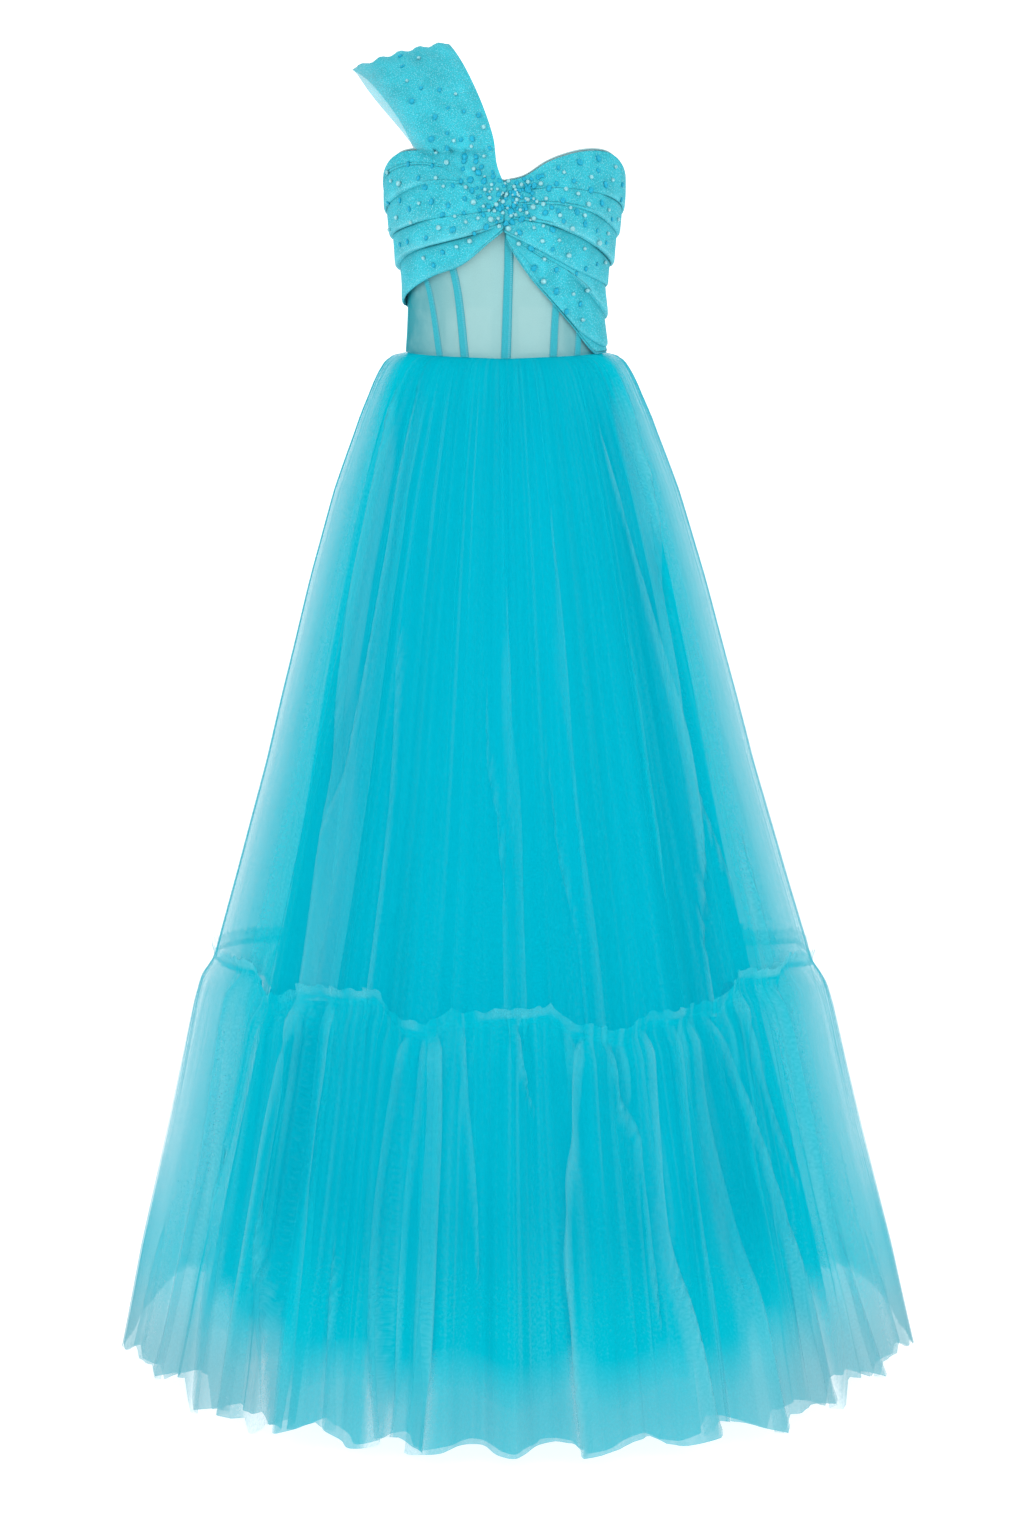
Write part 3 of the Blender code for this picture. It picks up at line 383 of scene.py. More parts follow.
# ---------------------------------------------------------------- the drapes and the beads
DRAPES = table(
    "node first last edge creases raised seed",
    ("bust_drape_right", -SIDE_ANGLE, 4, DRAPE_EDGE, RIGHT_CREASES, 0.0010, 31),
    ("bust_drape_left", -1, SIDE_ANGLE, SASH_TOP, LEFT_CREASES, 0.0004, 32),
    ("back_drape_right", -180, -SIDE_ANGLE, DRAPE_EDGE, BACK_CREASES, 0, 33),
    ("back_drape_left", SIDE_ANGLE, 180, DRAPE_EDGE, BACK_CREASES, 0, 34))
# How far out the drapes rest, and how far the lip of their lower edge stands out from there.
DRAPE_REST = 0.0056
EDGE_LIFT = 0.0018
# The lip at the lower edge of each fold, by the rise above it, and the slope up to the next one.
LIP_ROWS = ((-0.0010, 0.0), (-0.0002, 0.40), (0.0008, 0.85), (0.0022, 1.00))
SLOPE_ROWS = ((0.10, 0.97), (0.20, 0.86), (0.34, 0.66), (0.50, 0.46), (0.66, 0.30), (0.80, 0.18),
              (0.90, 0.09), (0.97, 0.03))
# Turned-in rows behind an edge: how far from the edge and how far inside they lie.
TURNED_ROWS = ((0.007, 0.0016), (0.001, 0.0010))
# The lift that gives full painted shade, how far painted shade and highlight reach from a lip, and
# how light a lip's painted highlight is.
FULL_LIFT = 0.0045
SHADE_REACH = 0.0050
LIP_LIGHT = 0.55
# How far the drapes end below the neckline, and the bunched cloth at their crossing.
NECK_MARGIN = 0.0025
BUNCH_OUT = 0.0045
BUNCH_ANGLE = 9.0

# Places on the front, in millimetres across and up, of flat dark beads and round pale ones.
DARK_LARGE = (
    (-100, 272), (-28, 257), (-75, 255), (-79, 232), (-35, 232), (-43, 213), (-31, 208),
    (-28, 196), (-22, 187), (-37, 188), (-35, 177), (-6, 173), (-17, 160), (-5, 157), (-61, 161),
    (-67, 151), (-56, 135), (-20, 138), (-79, 165), (-86, 180), (-104, 205), (-113, 166),
    (-103, 157), (-105, 122), (-77, 97), (10, 174), (26, 177), (32, 182), (22, 160), (10, 161),
    (7, 154), (18, 146), (2, 142), (8, 143), (81, 207), (101, 211), (48, 179), (109, 183),
    (93, 177), (63, 166), (105, 163), (78, 154), (87, 141), (52, 135), (29, 115), (32, 94),
    (56, 92), (88, 93), (56, 69), (82, 55), (67, 47), (16, 132), (44, 153), (24, 178),
)
DARK_SMALL = (
    (-110, 309), (-112, 320), (-90, 286), (-70, 284), (-61, 265), (-44, 261), (-62, 238),
    (-47, 231), (-62, 222), (-16, 222), (-44, 208), (-31, 213), (-45, 200), (-25, 202),
    (-12, 192), (-47, 187), (-56, 182), (-26, 171), (-43, 168), (-27, 156), (-23, 151),
    (-44, 153), (-33, 131), (-93, 190), (-78, 203), (-126, 164), (-85, 126), (-113, 119),
    (-67, 111), (18, 170), (13, 185), (21, 189), (29, 189), (36, 191), (41, 193), (58, 201),
    (101, 198), (75, 187), (56, 184), (127, 183), (126, 167), (51, 159), (58, 155), (64, 144),
    (116, 146), (100, 134), (110, 121), (52, 114), (100, 98), (78, 88), (30, 174), (16, 177),
    (-5, 187), (3, 159),
)
PALE_LARGE = (
    (-23, 244), (-62, 207), (-113, 184), (-71, 137), (-34, 164), (-9, 162), (-2, 165),
    (-15, 146), (-6, 139), (-38, 123), (39, 184), (66, 178), (42, 162), (90, 162), (31, 159),
    (32, 147), (73, 136), (41, 123), (15, 120), (4, 136), (69, 108), (101, 121), (42, 80),
    (90, 71),
)
PALE_SMALL = (
    (-92, 317), (-105, 293), (-53, 279), (-55, 230), (-36, 224), (-74, 219), (-22, 213),
    (-33, 200), (-74, 190), (-66, 181), (-42, 180), (-21, 178), (-14, 183), (-2, 192), (6, 190),
    (0, 184), (4, 187), (-126, 197), (-122, 187), (-92, 163), (-116, 148), (-101, 143),
    (-124, 135), (-54, 149), (-42, 143), (-23, 160), (-16, 169), (2, 173), (-7, 147), (-87, 105),
    (-52, 117), (-29, 147), (64, 196), (93, 191), (119, 202), (116, 188), (79, 173), (45, 168),
    (71, 158), (112, 156), (60, 150), (122, 146), (86, 150), (32, 137), (42, 139), (111, 131),
    (59, 124), (7, 150), (24, 153), (86, 115), (43, 104), (108, 100), (74, 66), (84, 38),
    (25, 186), (18, 183), (13, 167), (17, 156), (12, 151), (-2, 153), (-11, 155), (25, 167),
    (35, 165), (10, 181),
)
# The depth that these places are at, and the farthest back that a bead is sewn on.
BEAD_PLANE = -0.10
BEAD_BACKMOST = 0.03
BEAD_SEED = 77
# The crossing, which most beads lie round, and how far they spread there, in millimetres.
CLUSTER_MIDDLE = (6.0, 167.0)
CLUSTER_SPREAD = (15.0, 12.5)

CAMERA_PLACE = (0.008, -4.0, 0.0)
CAMERA_PITCH = 6.61
CAMERA_LENS = 83.5
CAMERA_SENSOR = 36.0
FLOOR_HEIGHT = -1.145
# Half the floor's width, where its sweep up starts, the sweep's radius and its top.
FLOOR_REACH = 14.0
SWEEP_START = 10.0
SWEEP_RADIUS = 2.0
SWEEP_TOP = 9.0
FLOOR_GLOW = 0.68
WORLD_GLOW = 0.85
WHITE = (1.0, 1.0, 1.0, 1.0)
LIGHTS = table("name place size power", ("key_light", (-2.6, -3.4, 1.8), 3.2, 70.0),
               ("fill_light", (3.2, -3.0, 0.8), 3.2, 45.0),
               ("top_light", (0.0, 0.3, 3.6), 3.0, 20.0))


# ---------------------------------------------------------------- settings
def count(name, default, description):
    return IntProperty(name=name, default=default, description=description)


def length(name, default, description):
    return FloatProperty(name=name, default=default, description=description,
                         subtype="DISTANCE", unit="LENGTH")


def colour(name, default, description):
    return FloatVectorProperty(name=name, default=default, description=description,
                               subtype="COLOR", size=3, min=0.0, max=1.0)


class GownSizes(bpy.types.PropertyGroup):
    skirt_folds: count("Skirt folds", 34, "Large folds round it")
    skirt_pleats: count("Skirt pleats", 92, "Narrow folds")
    skirt_gathers: count("Skirt gathers", 168, "Waist gathers")
    flounce_folds: count("Flounce folds", 30, "Flutes at the hem")
    flounce_pleats: count("Flounce pleats", 118, "Narrow folds")
    flounce_gathers: count("Flounce gathers", 236, "At the seam")
    layer_gap: length("Layer gap", 0.0100, "Space between the two layers of tulle")
    bone_width: length("Bone width", 0.0080, "Width of a bone channel")
    bone_height: length("Bone height", 0.0020, "How far a bone channel stands out")
    bead_large: length("Large bead", 0.0066, "Length of a large bead")
    bead_small: length("Small bead", 0.0050, "Length of a small bead")
    neck_binding: length("Neck binding", 0.0011, "Radius of the neckline's rolled edge")


class GownColours(bpy.types.PropertyGroup):
    # Tulle is the net's painted highlight colour; tulle deep is its own colour wherever no
    # highlight is painted.
    tulle: colour("Tulle", (0.18, 0.52, 0.60), "Tulle where it catches light")
    tulle_deep: colour("Tulle, deep", (0.0, 0.485, 0.605), "Tulle in its folds")
    lining: colour("Lining", (0.0, 0.43, 0.575), "Satin lining")
    # The tulle's hem colour is a greyer painted shade.
    tulle_hem_shade: colour("Tulle, hem", (0.15, 0.44, 0.52), "Tulle at its hem")
    lining_hem: colour("Lining hem", (0.03, 0.47, 0.58), "Lining where light comes through")
    drape: colour("Drape", (0.035, 0.50, 0.61), "Glitter tulle of the bodice")
    glitter: colour("Glitter", (0.34, 0.78, 0.84), "Glitter in the drapes")
    mesh_pale: colour("Mesh, pale", (0.30, 0.53, 0.535), "Corset mesh in front")
    mesh_deep: colour("Mesh, deep", (0.0, 0.27, 0.33), "Corset mesh at the sides")
    boning: colour("Boning", (0.035, 0.41, 0.50), "Bone channels")
    bead: colour("Dark bead", (0.0, 0.40, 0.59), "Flat turquoise beads")
    pearl: colour("Pale bead", (0.25, 0.62, 0.68), "Round pale beads")
    zip_tape: colour("Zip tape", (0.0, 0.40, 0.55), "Tape of the concealed zip")
    floor: colour("Floor", (0.62, 0.62, 0.62), "Studio floor")


# ---------------------------------------------------------------- curves
def smooth_curve(places, values, at):
    """A smooth curve through values at growing places, held level beyond its ends."""
    places = np.asarray(places, float)
    values = np.asarray(values, float)
    slopes = np.gradient(values, places)
    at = np.clip(np.asarray(at, float), places[0], places[-1])
    index = np.clip(np.searchsorted(places, at) - 1, 0, len(places) - 2)
    span = places[index + 1] - places[index]
    t = (at - places[index]) / span
    start = (2 * t**3 - 3 * t**2 + 1) * values[index] + (t**3 - 2 * t**2 + t) * span * slopes[index]
    end = (3 * t**2 - 2 * t**3) * values[index + 1] + (t**3 - t**2) * span * slopes[index + 1]
    return start + end


def read(rows, column, at):
    """A smooth curve through a table's column, along the table's first column."""
    return smooth_curve([row[0] for row in rows], [getattr(row, column) for row in rows], at)


def read_straight(rows, column, at):
    """Straight lines through a table's column."""
    return np.interp(at, [row[0] for row in rows], [getattr(row, column) for row in rows])


def mirrored(rows, angle):
    """An edge height that is the same on both sides of the centre front."""
    return read(rows, "height", np.abs(angle))


def ease(value, low, high):
    """A smooth step from 0 at low to 1 at high."""
    t = np.clip((np.asarray(value, float) - low) / (high - low), 0.0, 1.0)
    return t * t * (3.0 - 2.0 * t)


def body_place(angle, height):
    """The corset's inner face: an oval section with two cups in front."""
    turn = np.radians(angle)
    depth = np.where(np.cos(turn) > 0, read(BODY, "front_depth", height),
                     read(BODY, "back_depth", height))
    across = (np.abs(angle) - CUP_ANGLE) / CUP_SPREAD
    upwards = (height - CUP_HEIGHT) / CUP_RISE
    cup = CUP_DEPTH * np.exp(-(across**2) - upwards**2)
    x = (read(BODY, "half_width", height) + CUP_SIDE_SHARE * cup) * np.sin(turn)
    y = -depth * np.cos(turn) - cup * np.abs(np.cos(turn))
    return np.stack([x, y, height + 0.0 * angle], axis=-1)


def unit(vectors):
    return vectors / np.linalg.norm(vectors, axis=-1, keepdims=True)


def body_point(angle, height, out):
    """A point the given distance outside the corset's inner face."""
    angle = np.asarray(angle, float)
    height = np.asarray(height, float) + 0.0 * angle
    around = body_place(angle + NORMAL_TURN, height) - body_place(angle - NORMAL_TURN, height)
    upwards = body_place(angle, height + NORMAL_RISE) - body_place(angle, height - NORMAL_RISE)
    out = (np.asarray(out) + 0.0 * height)[..., None]
    return body_place(angle, height) + unit(np.cross(around, upwards)) * out


def between_seams(seam, shares):
    """A corset seam's angle at shares of the way from the waist to the neckline."""
    return np.interp(shares, (0.0, 0.5, 1.0), (seam.waist, seam.middle, seam.neck))


def corset_height(angle, shares):
    """Heights at shares of the way from the waist to the neckline."""
    low = mirrored(WAIST, angle)
    return low + (mirrored(NECKLINE, angle) - low) * shares


# ---------------------------------------------------------------- making pieces
def grid_piece(name, points, marks=None, across=None, down=None):
    """A grid primitive laid through rows of points, with its cloth map in metres."""
    rows, columns = points.shape[:2]
    bpy.ops.object.select_all(action="DESELECT")
    bpy.ops.mesh.primitive_grid_add(x_subdivisions=columns - 1, y_subdivisions=rows - 1, size=1.0)
    piece = bpy.context.object
    piece.name = name
    mesh = piece.data
    mesh.name = name
    place = np.empty(len(mesh.vertices) * 3, np.float32)
    mesh.vertices.foreach_get("co", place)
    place = place.reshape(-1, 3)
    column = np.rint((place[:, 0] + 0.5) * (columns - 1)).astype(int)
    row = np.rint((0.5 - place[:, 1]) * (rows - 1)).astype(int)
    mesh.vertices.foreach_set("co", points[row, column].astype(np.float32).ravel())
    across = cloth_across(points) if across is None else across
    down = cloth_down(points) if down is None else down
    corner = np.empty(len(mesh.loops), np.int32)
    mesh.loops.foreach_get("vertex_index", corner)
    flat = np.stack([across[column[corner]], down[row[corner]]], axis=-1)
    mesh.uv_layers.active.data.foreach_set("uv", flat.astype(np.float32).ravel())
    for key, values in (marks or {}).items():
        layer = mesh.attributes.new(key, "FLOAT", "POINT")
        layer.data.foreach_set("value", values[row, column].astype(np.float32))
    bpy.ops.object.shade_smooth()
    mesh.update()
    return piece


def cloth_across(points):
    """Distance along the cloth from the first column, in the row that is longest."""
    steps = np.linalg.norm(np.diff(points, axis=1), axis=-1)
    longest = steps[np.argmax(steps.sum(axis=1))]
    return np.concatenate([[0.0], np.cumsum(longest)])


def cloth_down(points):
    """Mean distance down the cloth from the first row."""
    steps = np.linalg.norm(np.diff(points, axis=0), axis=-1).mean(axis=1)
    return np.concatenate([[0.0], np.cumsum(steps)])


def reshape(scale):
    """Scales the new primitive in edit mode and returns it."""
    bpy.ops.object.mode_set(mode="EDIT")
    bpy.ops.mesh.select_all(action="SELECT")
    bpy.ops.transform.resize(value=scale)
    bpy.ops.object.mode_set(mode="OBJECT")
    return bpy.context.object


def repeat_shape(name, model, placings):
    """Copies of a modelled shape in one piece, each under its own axes and centre."""
    base = np.array([vertex.co for vertex in model.data.vertices])
    outline = [tuple(face.vertices) for face in model.data.polygons]
    bpy.data.objects.remove(model, do_unlink=True)
    corners, faces = [], []
    for axes, centre in placings:
        start = len(corners) * len(base)
        corners.append(base @ axes + centre)
        faces += [tuple(start + i for i in face) for face in outline]
    mesh = bpy.data.meshes.new(name)
    mesh.from_pydata(np.concatenate(corners).tolist(), [], faces)
    mesh.shade_smooth()
    piece = bpy.data.objects.new(name, mesh)
    bpy.context.scene.collection.objects.link(piece)
    return piece


def finish_piece(piece, finish, slot, *nodes):
    """Gives a piece its material and body and hides the solids that it stands for; the slot is not
    used.
    """
    piece.data.materials.clear()
    piece.data.materials.append(finish)
    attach(piece, "root")
    if nodes:
        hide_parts(*nodes)
    return piece


def cut_of(points):
    """Width and length of the cloth that a sheet was cut from."""
    across = np.linalg.norm(np.diff(points, axis=1), axis=-1).sum(axis=1)
    return float(np.percentile(across, 85)), float(cloth_down(points)[-1])


def cloth_piece(node, ending, points, finish, slot, marks=None):
    """One sheet of cloth in place of a solid, named after it."""
    piece = finish_piece(grid_piece(node + ending, points, marks), finish, slot, node)


# ---------------------------------------------------------------- materials
class Wire:
    """An output socket; arithmetic on it adds Math nodes."""

    def __init__(self, finish, socket):
        self.finish = finish
        self.socket = socket

    def maths(self, operation, second, first=None):
        values = {0: self if first is None else first, 1: second}
        return self.finish.node("ShaderNodeMath", {"operation": operation}, values)

    def __add__(self, other):
        return self.maths("ADD", other)

    def __sub__(self, other):
        return self.maths("SUBTRACT", other)

    def __rsub__(self, other):
        return self.maths("SUBTRACT", self, other)

    def __mul__(self, other):
        return self.maths("MULTIPLY", other)

    def __pow__(self, other):
        return self.maths("POWER", other)


class Finish:
    """A material whose nodes are added one by one."""

    def __init__(self, name, **constants):
        self.material = bpy.data.materials.new(name)
        self.material.use_nodes = True
        self.tree = self.material.node_tree
        self.shader = self.tree.nodes["Principled BSDF"]
        for socket, value in constants.items():
            self.shader.inputs[socket.replace("_", " ")].default_value = value

    def node(self, kind, settings=None, sockets=None, output=0):
        """Adds a node: its settings first, then the values or links of its sockets."""
        made = self.tree.nodes.new(kind)
        for key, value in (settings or {}).items():
            setattr(made, key, value)
        for key, value in (sockets or {}).items():
            if isinstance(value, Wire):
                self.tree.links.new(value.socket, made.inputs[key])
            else:
                made.inputs[key].default_value = value
        return Wire(self, made.outputs[output])

    def feed(self, socket, wire):
        self.tree.links.new(wire.socket, self.shader.inputs[socket])

    def across_and_down(self):
        """The cloth map's two directions, in metres."""
        parts = {0: self.node("ShaderNodeUVMap")}
        return (self.node("ShaderNodeSeparateXYZ", None, parts, 0),
                self.node("ShaderNodeSeparateXYZ", None, parts, 1))

    def object_place(self):
        return self.node("ShaderNodeTexCoord", output="Object")

    def attribute(self, name):
        return self.node("ShaderNodeAttribute", {"attribute_name": name}, output="Fac")

    def vector(self, x, y, z=0.0):
        return self.node("ShaderNodeCombineXYZ", None, {0: x, 1: y, 2: z})

    def noise(self, vector, scale, detail=2.0, roughness=0.5):
        return self.node("ShaderNodeTexNoise", None, {
            "Vector": vector, "Scale": scale, "Detail": detail, "Roughness": roughness})

    def cloth_noise(self, across, down, detail, roughness=0.5, seed=0.0):
        """Noise over the cloth map, with that many grains to the metre each way."""
        u, v = self.across_and_down()
        return self.noise(self.vector(u * across, v * down, seed), 1.0, detail, roughness)

    def fit(self, wire, low, high, start=0.0, end=1.0):
        """Maps low..high onto start..end, held at both ends."""
        return self.node("ShaderNodeMapRange", {"clamp": True}, {
            "Value": wire, "From Min": low, "From Max": high, "To Min": start, "To Max": end})

    def mix(self, factor, first, second):
        return self.node("ShaderNodeMix", {"data_type": "RGBA"},
                         {0: factor, 6: first, 7: second}, output=2)

    def bump(self, height, strength, distance):
        return self.node("ShaderNodeBump", None, {
            "Strength": strength, "Distance": distance, "Height": height}, output="Normal")


def tint(value, factor=1.0, added=0.0):
    """A colour for a socket, made darker, or paler, than the one in the settings."""
    return tuple(min(1.0, factor * part + added) for part in value[:3]) + (1.0,)


def tulle_finish(name, layer, colours):
    """Fine net, closer where it is gathered, with painted highlights on its folds, painted shade at
    its hem and part of its colour painted as a glow.
    """
    finish = Finish(name, Roughness=0.8, Specular_IOR_Level=0.0, Emission_Strength=NET_GLOW)
    grain = finish.cloth_noise(380.0, 300.0, 1.0, seed=layer.net_seed) - 0.5
    tone, cover, painted_hem_shade = (finish.attribute(key) for key in ("tone", "cover", "painted_hem_shade"))
    pale = finish.fit(tone * layer.light + grain * (0.34 * layer.light), 0.0, 1.0)
    # Part of the colour is painted as a glow through the emission, standing in for light through
    # the net.
    for socket, share in (("Base Color", 1.0 - NET_GLOW), ("Emission Color", 1.0)):
        deep, light, hem = (tint(part, share)
                            for part in (colours.tulle_deep, colours.tulle, colours.tulle_hem_shade))
        finish.feed(socket, finish.mix(painted_hem_shade, finish.mix(pale, deep, light), hem))
    finish.feed("Alpha", finish.fit(cover + grain * 0.26, 0.0, 1.0))
    return finish.material


def lining_finish(colours):
    """Satin that is lost to the eye towards its hem."""
    finish = Finish("lining_satin", Specular_IOR_Level=0.0)
    broad = finish.cloth_noise(14.0, 1.2, 3.0)
    weave = finish.cloth_noise(900.0, 240.0, 1.0)
    ground = finish.mix(finish.fit(broad, 0.35, 0.65), tint(colours.lining, 0.88),
                        tint(colours.lining))
    cover = finish.attribute("cover")
    finish.feed("Base Color", finish.mix(1.0 - cover, ground, tint(colours.lining_hem)))
    finish.feed("Roughness", finish.fit(weave, 0.2, 0.8, 0.50, 0.68))
    finish.feed("Alpha", finish.fit(cover * 1.2 + (broad - 0.5) * 0.35, 0.0, 1.0))
    return finish.material


def drape_finish(name, colours, clear_edge=0.0, width=1.0):
    """Close tulle with a glitter grain, painted shade under each fold's lip and a painted highlight
    on the lip, clearer towards one edge of a single layer.
    """
    finish = Finish(name, Specular_IOR_Level=0.15)
    u, v = finish.across_and_down()
    weave = finish.cloth_noise(640.0, 640.0, 2.0, 0.6)
    cloud = finish.cloth_noise(34.0, 34.0, 2.0)
    specks = finish.node("ShaderNodeTexVoronoi", {"feature": "F1"},
                         {"Vector": finish.vector(u, v), "Scale": 620.0})
    spark = finish.fit(specks, 0.30, 0.16)
    ground = finish.mix(finish.fit(weave * 0.7 + cloud * 0.3, 0.40, 0.60),
                        tint(colours.drape, 0.66), tint(colours.drape))
    # Painted fold shade darkens the colour and dims the glitter under each lip; its negative values
    # add glitter on the lips as a painted highlight.
    shade = finish.attribute("fold_shade")
    glitter = finish.fit(spark * 0.62 - shade * 0.45, 0.0, 1.0)
    ground = finish.mix(finish.fit(shade, 0.05, 0.9, 0.0, 0.85), ground, tint(colours.drape, 0.52))
    finish.feed("Base Color", finish.mix(glitter, ground, tint(colours.glitter)))
    finish.feed("Roughness", finish.fit(spark, 0.0, 1.0, 0.68, 0.34))
    finish.feed("Normal", finish.bump(weave + spark * 0.5, 0.35, 0.0006))
    if clear_edge:
        solid = finish.fit(width - u, 0.0, 0.34 * width, 1.0 - clear_edge, 1.0)
        finish.feed("Alpha", finish.fit(solid + (weave - 0.5) * 0.5, 0.0, 0.97))
    return finish.material


def mesh_finish(colours):
    """Corset mesh, paler in front, where it lies square, than at the sides."""
    finish = Finish("sheer_mesh", Roughness=0.75, Specular_IOR_Level=0.1)
    across = finish.node("ShaderNodeSeparateXYZ", None, {0: finish.object_place()})
    side = finish.fit(across.maths("ABSOLUTE", 0.0), 0.035, 0.105) ** 1.4
    net = finish.cloth_noise(900.0, 900.0, 1.0)
    cloud = finish.cloth_noise(22.0, 22.0, 3.0)
    ground = finish.mix(side, tint(colours.mesh_pale), tint(colours.mesh_deep))
    finish.feed("Base Color", finish.mix(finish.fit(cloud, 0.45, 0.75, 0.0, 0.35), ground,
                                         tint(colours.mesh_pale, 1.12)))
    finish.feed("Alpha", finish.fit(net, 0.25, 0.75, 0.80, 0.92))
    finish.feed("Normal", finish.bump(net, 0.25, 0.0004))
    return finish.material


def boning_finish(colours):
    """Woven channel with a row of stitches along each edge."""
    finish = Finish("bone_channel", Roughness=0.65, Specular_IOR_Level=0.15)
    u, v = finish.across_and_down()
    weave = finish.cloth_noise(800.0, 800.0, 1.0)
    dash = finish.fit(v.maths("PINGPONG", 0.0011), 0.0004, 0.0006)
    stitch = dash * finish.fit(u.maths("PINGPONG", 0.0050), 0.0016, 0.0011)
    ground = finish.mix(finish.fit(weave, 0.35, 0.65), tint(colours.boning, 0.75),
                        tint(colours.boning))
    finish.feed("Base Color", finish.mix(stitch * 0.25, ground, tint(colours.boning, 0.5, 0.35)))
    finish.feed("Normal", finish.bump(weave * 0.5 + stitch, 0.4, 0.0005))
    return finish.material


def cloudy_finish(name, base, grain, dark, roughness, rougher, **constants):
    """A close finish with soft clouds in its colour and its sheen."""
    finish = Finish(name, **constants)
    cloud = finish.noise(finish.object_place(), grain)
    finish.feed("Base Color", finish.mix(finish.fit(cloud, 0.35, 0.65), tint(base, dark),
                                         tint(base)))
    finish.feed("Roughness", finish.fit(cloud, 0.3, 0.7, roughness, roughness + rougher))
    return finish, cloud


def bead_finish(name, base, roughness, coat):
    finish, _ = cloudy_finish(name, base, 420.0, 0.7, roughness, 0.12, Specular_IOR_Level=0.25,
                              Coat_Weight=coat, Coat_Roughness=0.12)
    return finish.material


def plain_finish(name, base, roughness, grain):
    finish, cloud = cloudy_finish(name, base, grain, 0.85, roughness, 0.15, Specular_IOR_Level=0.3)
    finish.feed("Normal", finish.bump(cloud, 0.2, 0.0004))
    return finish.material


# ---------------------------------------------------------------- folds
class Folds:
    """Folds round a ring, each with its own width, depth, lean and length."""

    def __init__(self, seed, number, lean):
        dice = np.random.default_rng(seed)
        widths = dice.uniform(0.55, 1.5, number)
        ends = np.concatenate([[0.0], np.cumsum(widths)]) / widths.sum()
        self.ends = ends * 360.0 - 180.0
        self.number = number
        self.depths = dice.uniform(0.45, 1.25, number)
        self.leans = lean * dice.choice((-1.0, 1.0), number) * dice.uniform(0.1, 1.0, number)
        self.lengths = dice.uniform(0.15, 1.3, number)
        self.sways = dice.uniform(-0.14, 0.14, number)
        self.lines_seen = dice.uniform(-0.8, 1.0, number)

    def phase(self, angle):
        return np.interp(angle, self.ends, np.arange(self.number + 1))

    def wave(self, angle, sway=0.0):
        """1 at the crests and -1 in the hollows."""
        return np.cos(2.0 * math.pi * (self.phase(angle) + sway))

    def own(self, values, angle):
        """Each fold's own value, passing smoothly to the next one's at the crest."""
        phase = self.phase(angle) - 0.5
        first = np.floor(phase).astype(int)
        t = ease(phase - first, 0.15, 0.85)
        return values[first % self.number] * (1.0 - t) + values[(first + 1) % self.number] * t

    def push_and_slip(self, angle, depth, share):
        """How far the cloth goes out and along, by rows of depth and share of the way down."""
        wave = self.wave(angle, self.own(self.sways, angle) * share)
        full = depth * self.own(self.depths, angle)
        return full * (wave - 0.7), full * self.own(self.leans, angle) * wave

    def lines(self, angle, share):
        """Painted highlight lines along some crests, stronger on some folds than on others."""
        crest = ease(self.wave(angle, self.own(self.sways, angle) * share), 0.45, 1.0)
        strength = np.clip(self.own(self.lines_seen, angle), 0.0, 1.0)
        return crest * strength * self.fading(angle, 0.9 * share)

    def fading(self, angle, share):
        """1 where a fold is still there, 0 past its own length."""
        return 1.0 - ease(share / self.own(self.lengths, angle), 0.55, 1.15)


def tier_folds(angle, place, share, *groups):
    """Push and slip of a tier's sets of folds, each given with its seed and number of folds."""
    push = slip = 0.0
    made = []
    for kind, seed, number in groups:
        folds = Folds(seed, number, kind.lean)
        depth = read(kind.depths, "depth", place) * side_calm(angle, kind.calm)
        out, along = folds.push_and_slip(angle, depth, share)
        left = folds.fading(angle, share) if kind.fades else 1.0
        push = push + out * left
        slip = slip + along * left
        made.append(folds)
    return push, slip, made


def ring_points(angle, drop, half_width, gap, push, slip):
    """Points round an oval ring, each moved out by its push and along by its slip."""
    turn = np.radians(angle) + slip / half_width
    depth = half_width - gap
    x = SKIRT_LEAN * drop + half_width * np.sin(turn)
    y = -depth * np.cos(turn)
    out_x = depth * np.sin(turn)
    out_y = -half_width * np.cos(turn)
    size = np.hypot(out_x, out_y)
    return np.stack([x + out_x / size * push, y + out_y / size * push, -drop + 0.0 * x], axis=-1)


def ring_angles(step):
    return np.linspace(-180.0, 180.0, round(360.0 / step) + 1)


def follow_waist(points, angle, drop):
    """Lets the top of a ring follow the waist line."""
    points[..., 2] += (1.0 - ease(drop, 0.0, WAIST_DIP_DROP)) * mirrored(WAIST, angle)


def all_round(laps):
    """The laid folds of the front, and like ones on the back in other places."""
    back = []
    for one in laps:
        if min(abs(one.rows[0].edge), abs(one.rows[-1].edge)) < FRONT_ONLY:
            continue
        rows = tuple(row._replace(edge=math.copysign(BACK_TURN, row.edge) - BACK_SHARE * row.edge)
                     for row in one.rows)
        back.append(Lap(-one.side, one.pale, rows))
    return tuple(laps) + tuple(back)


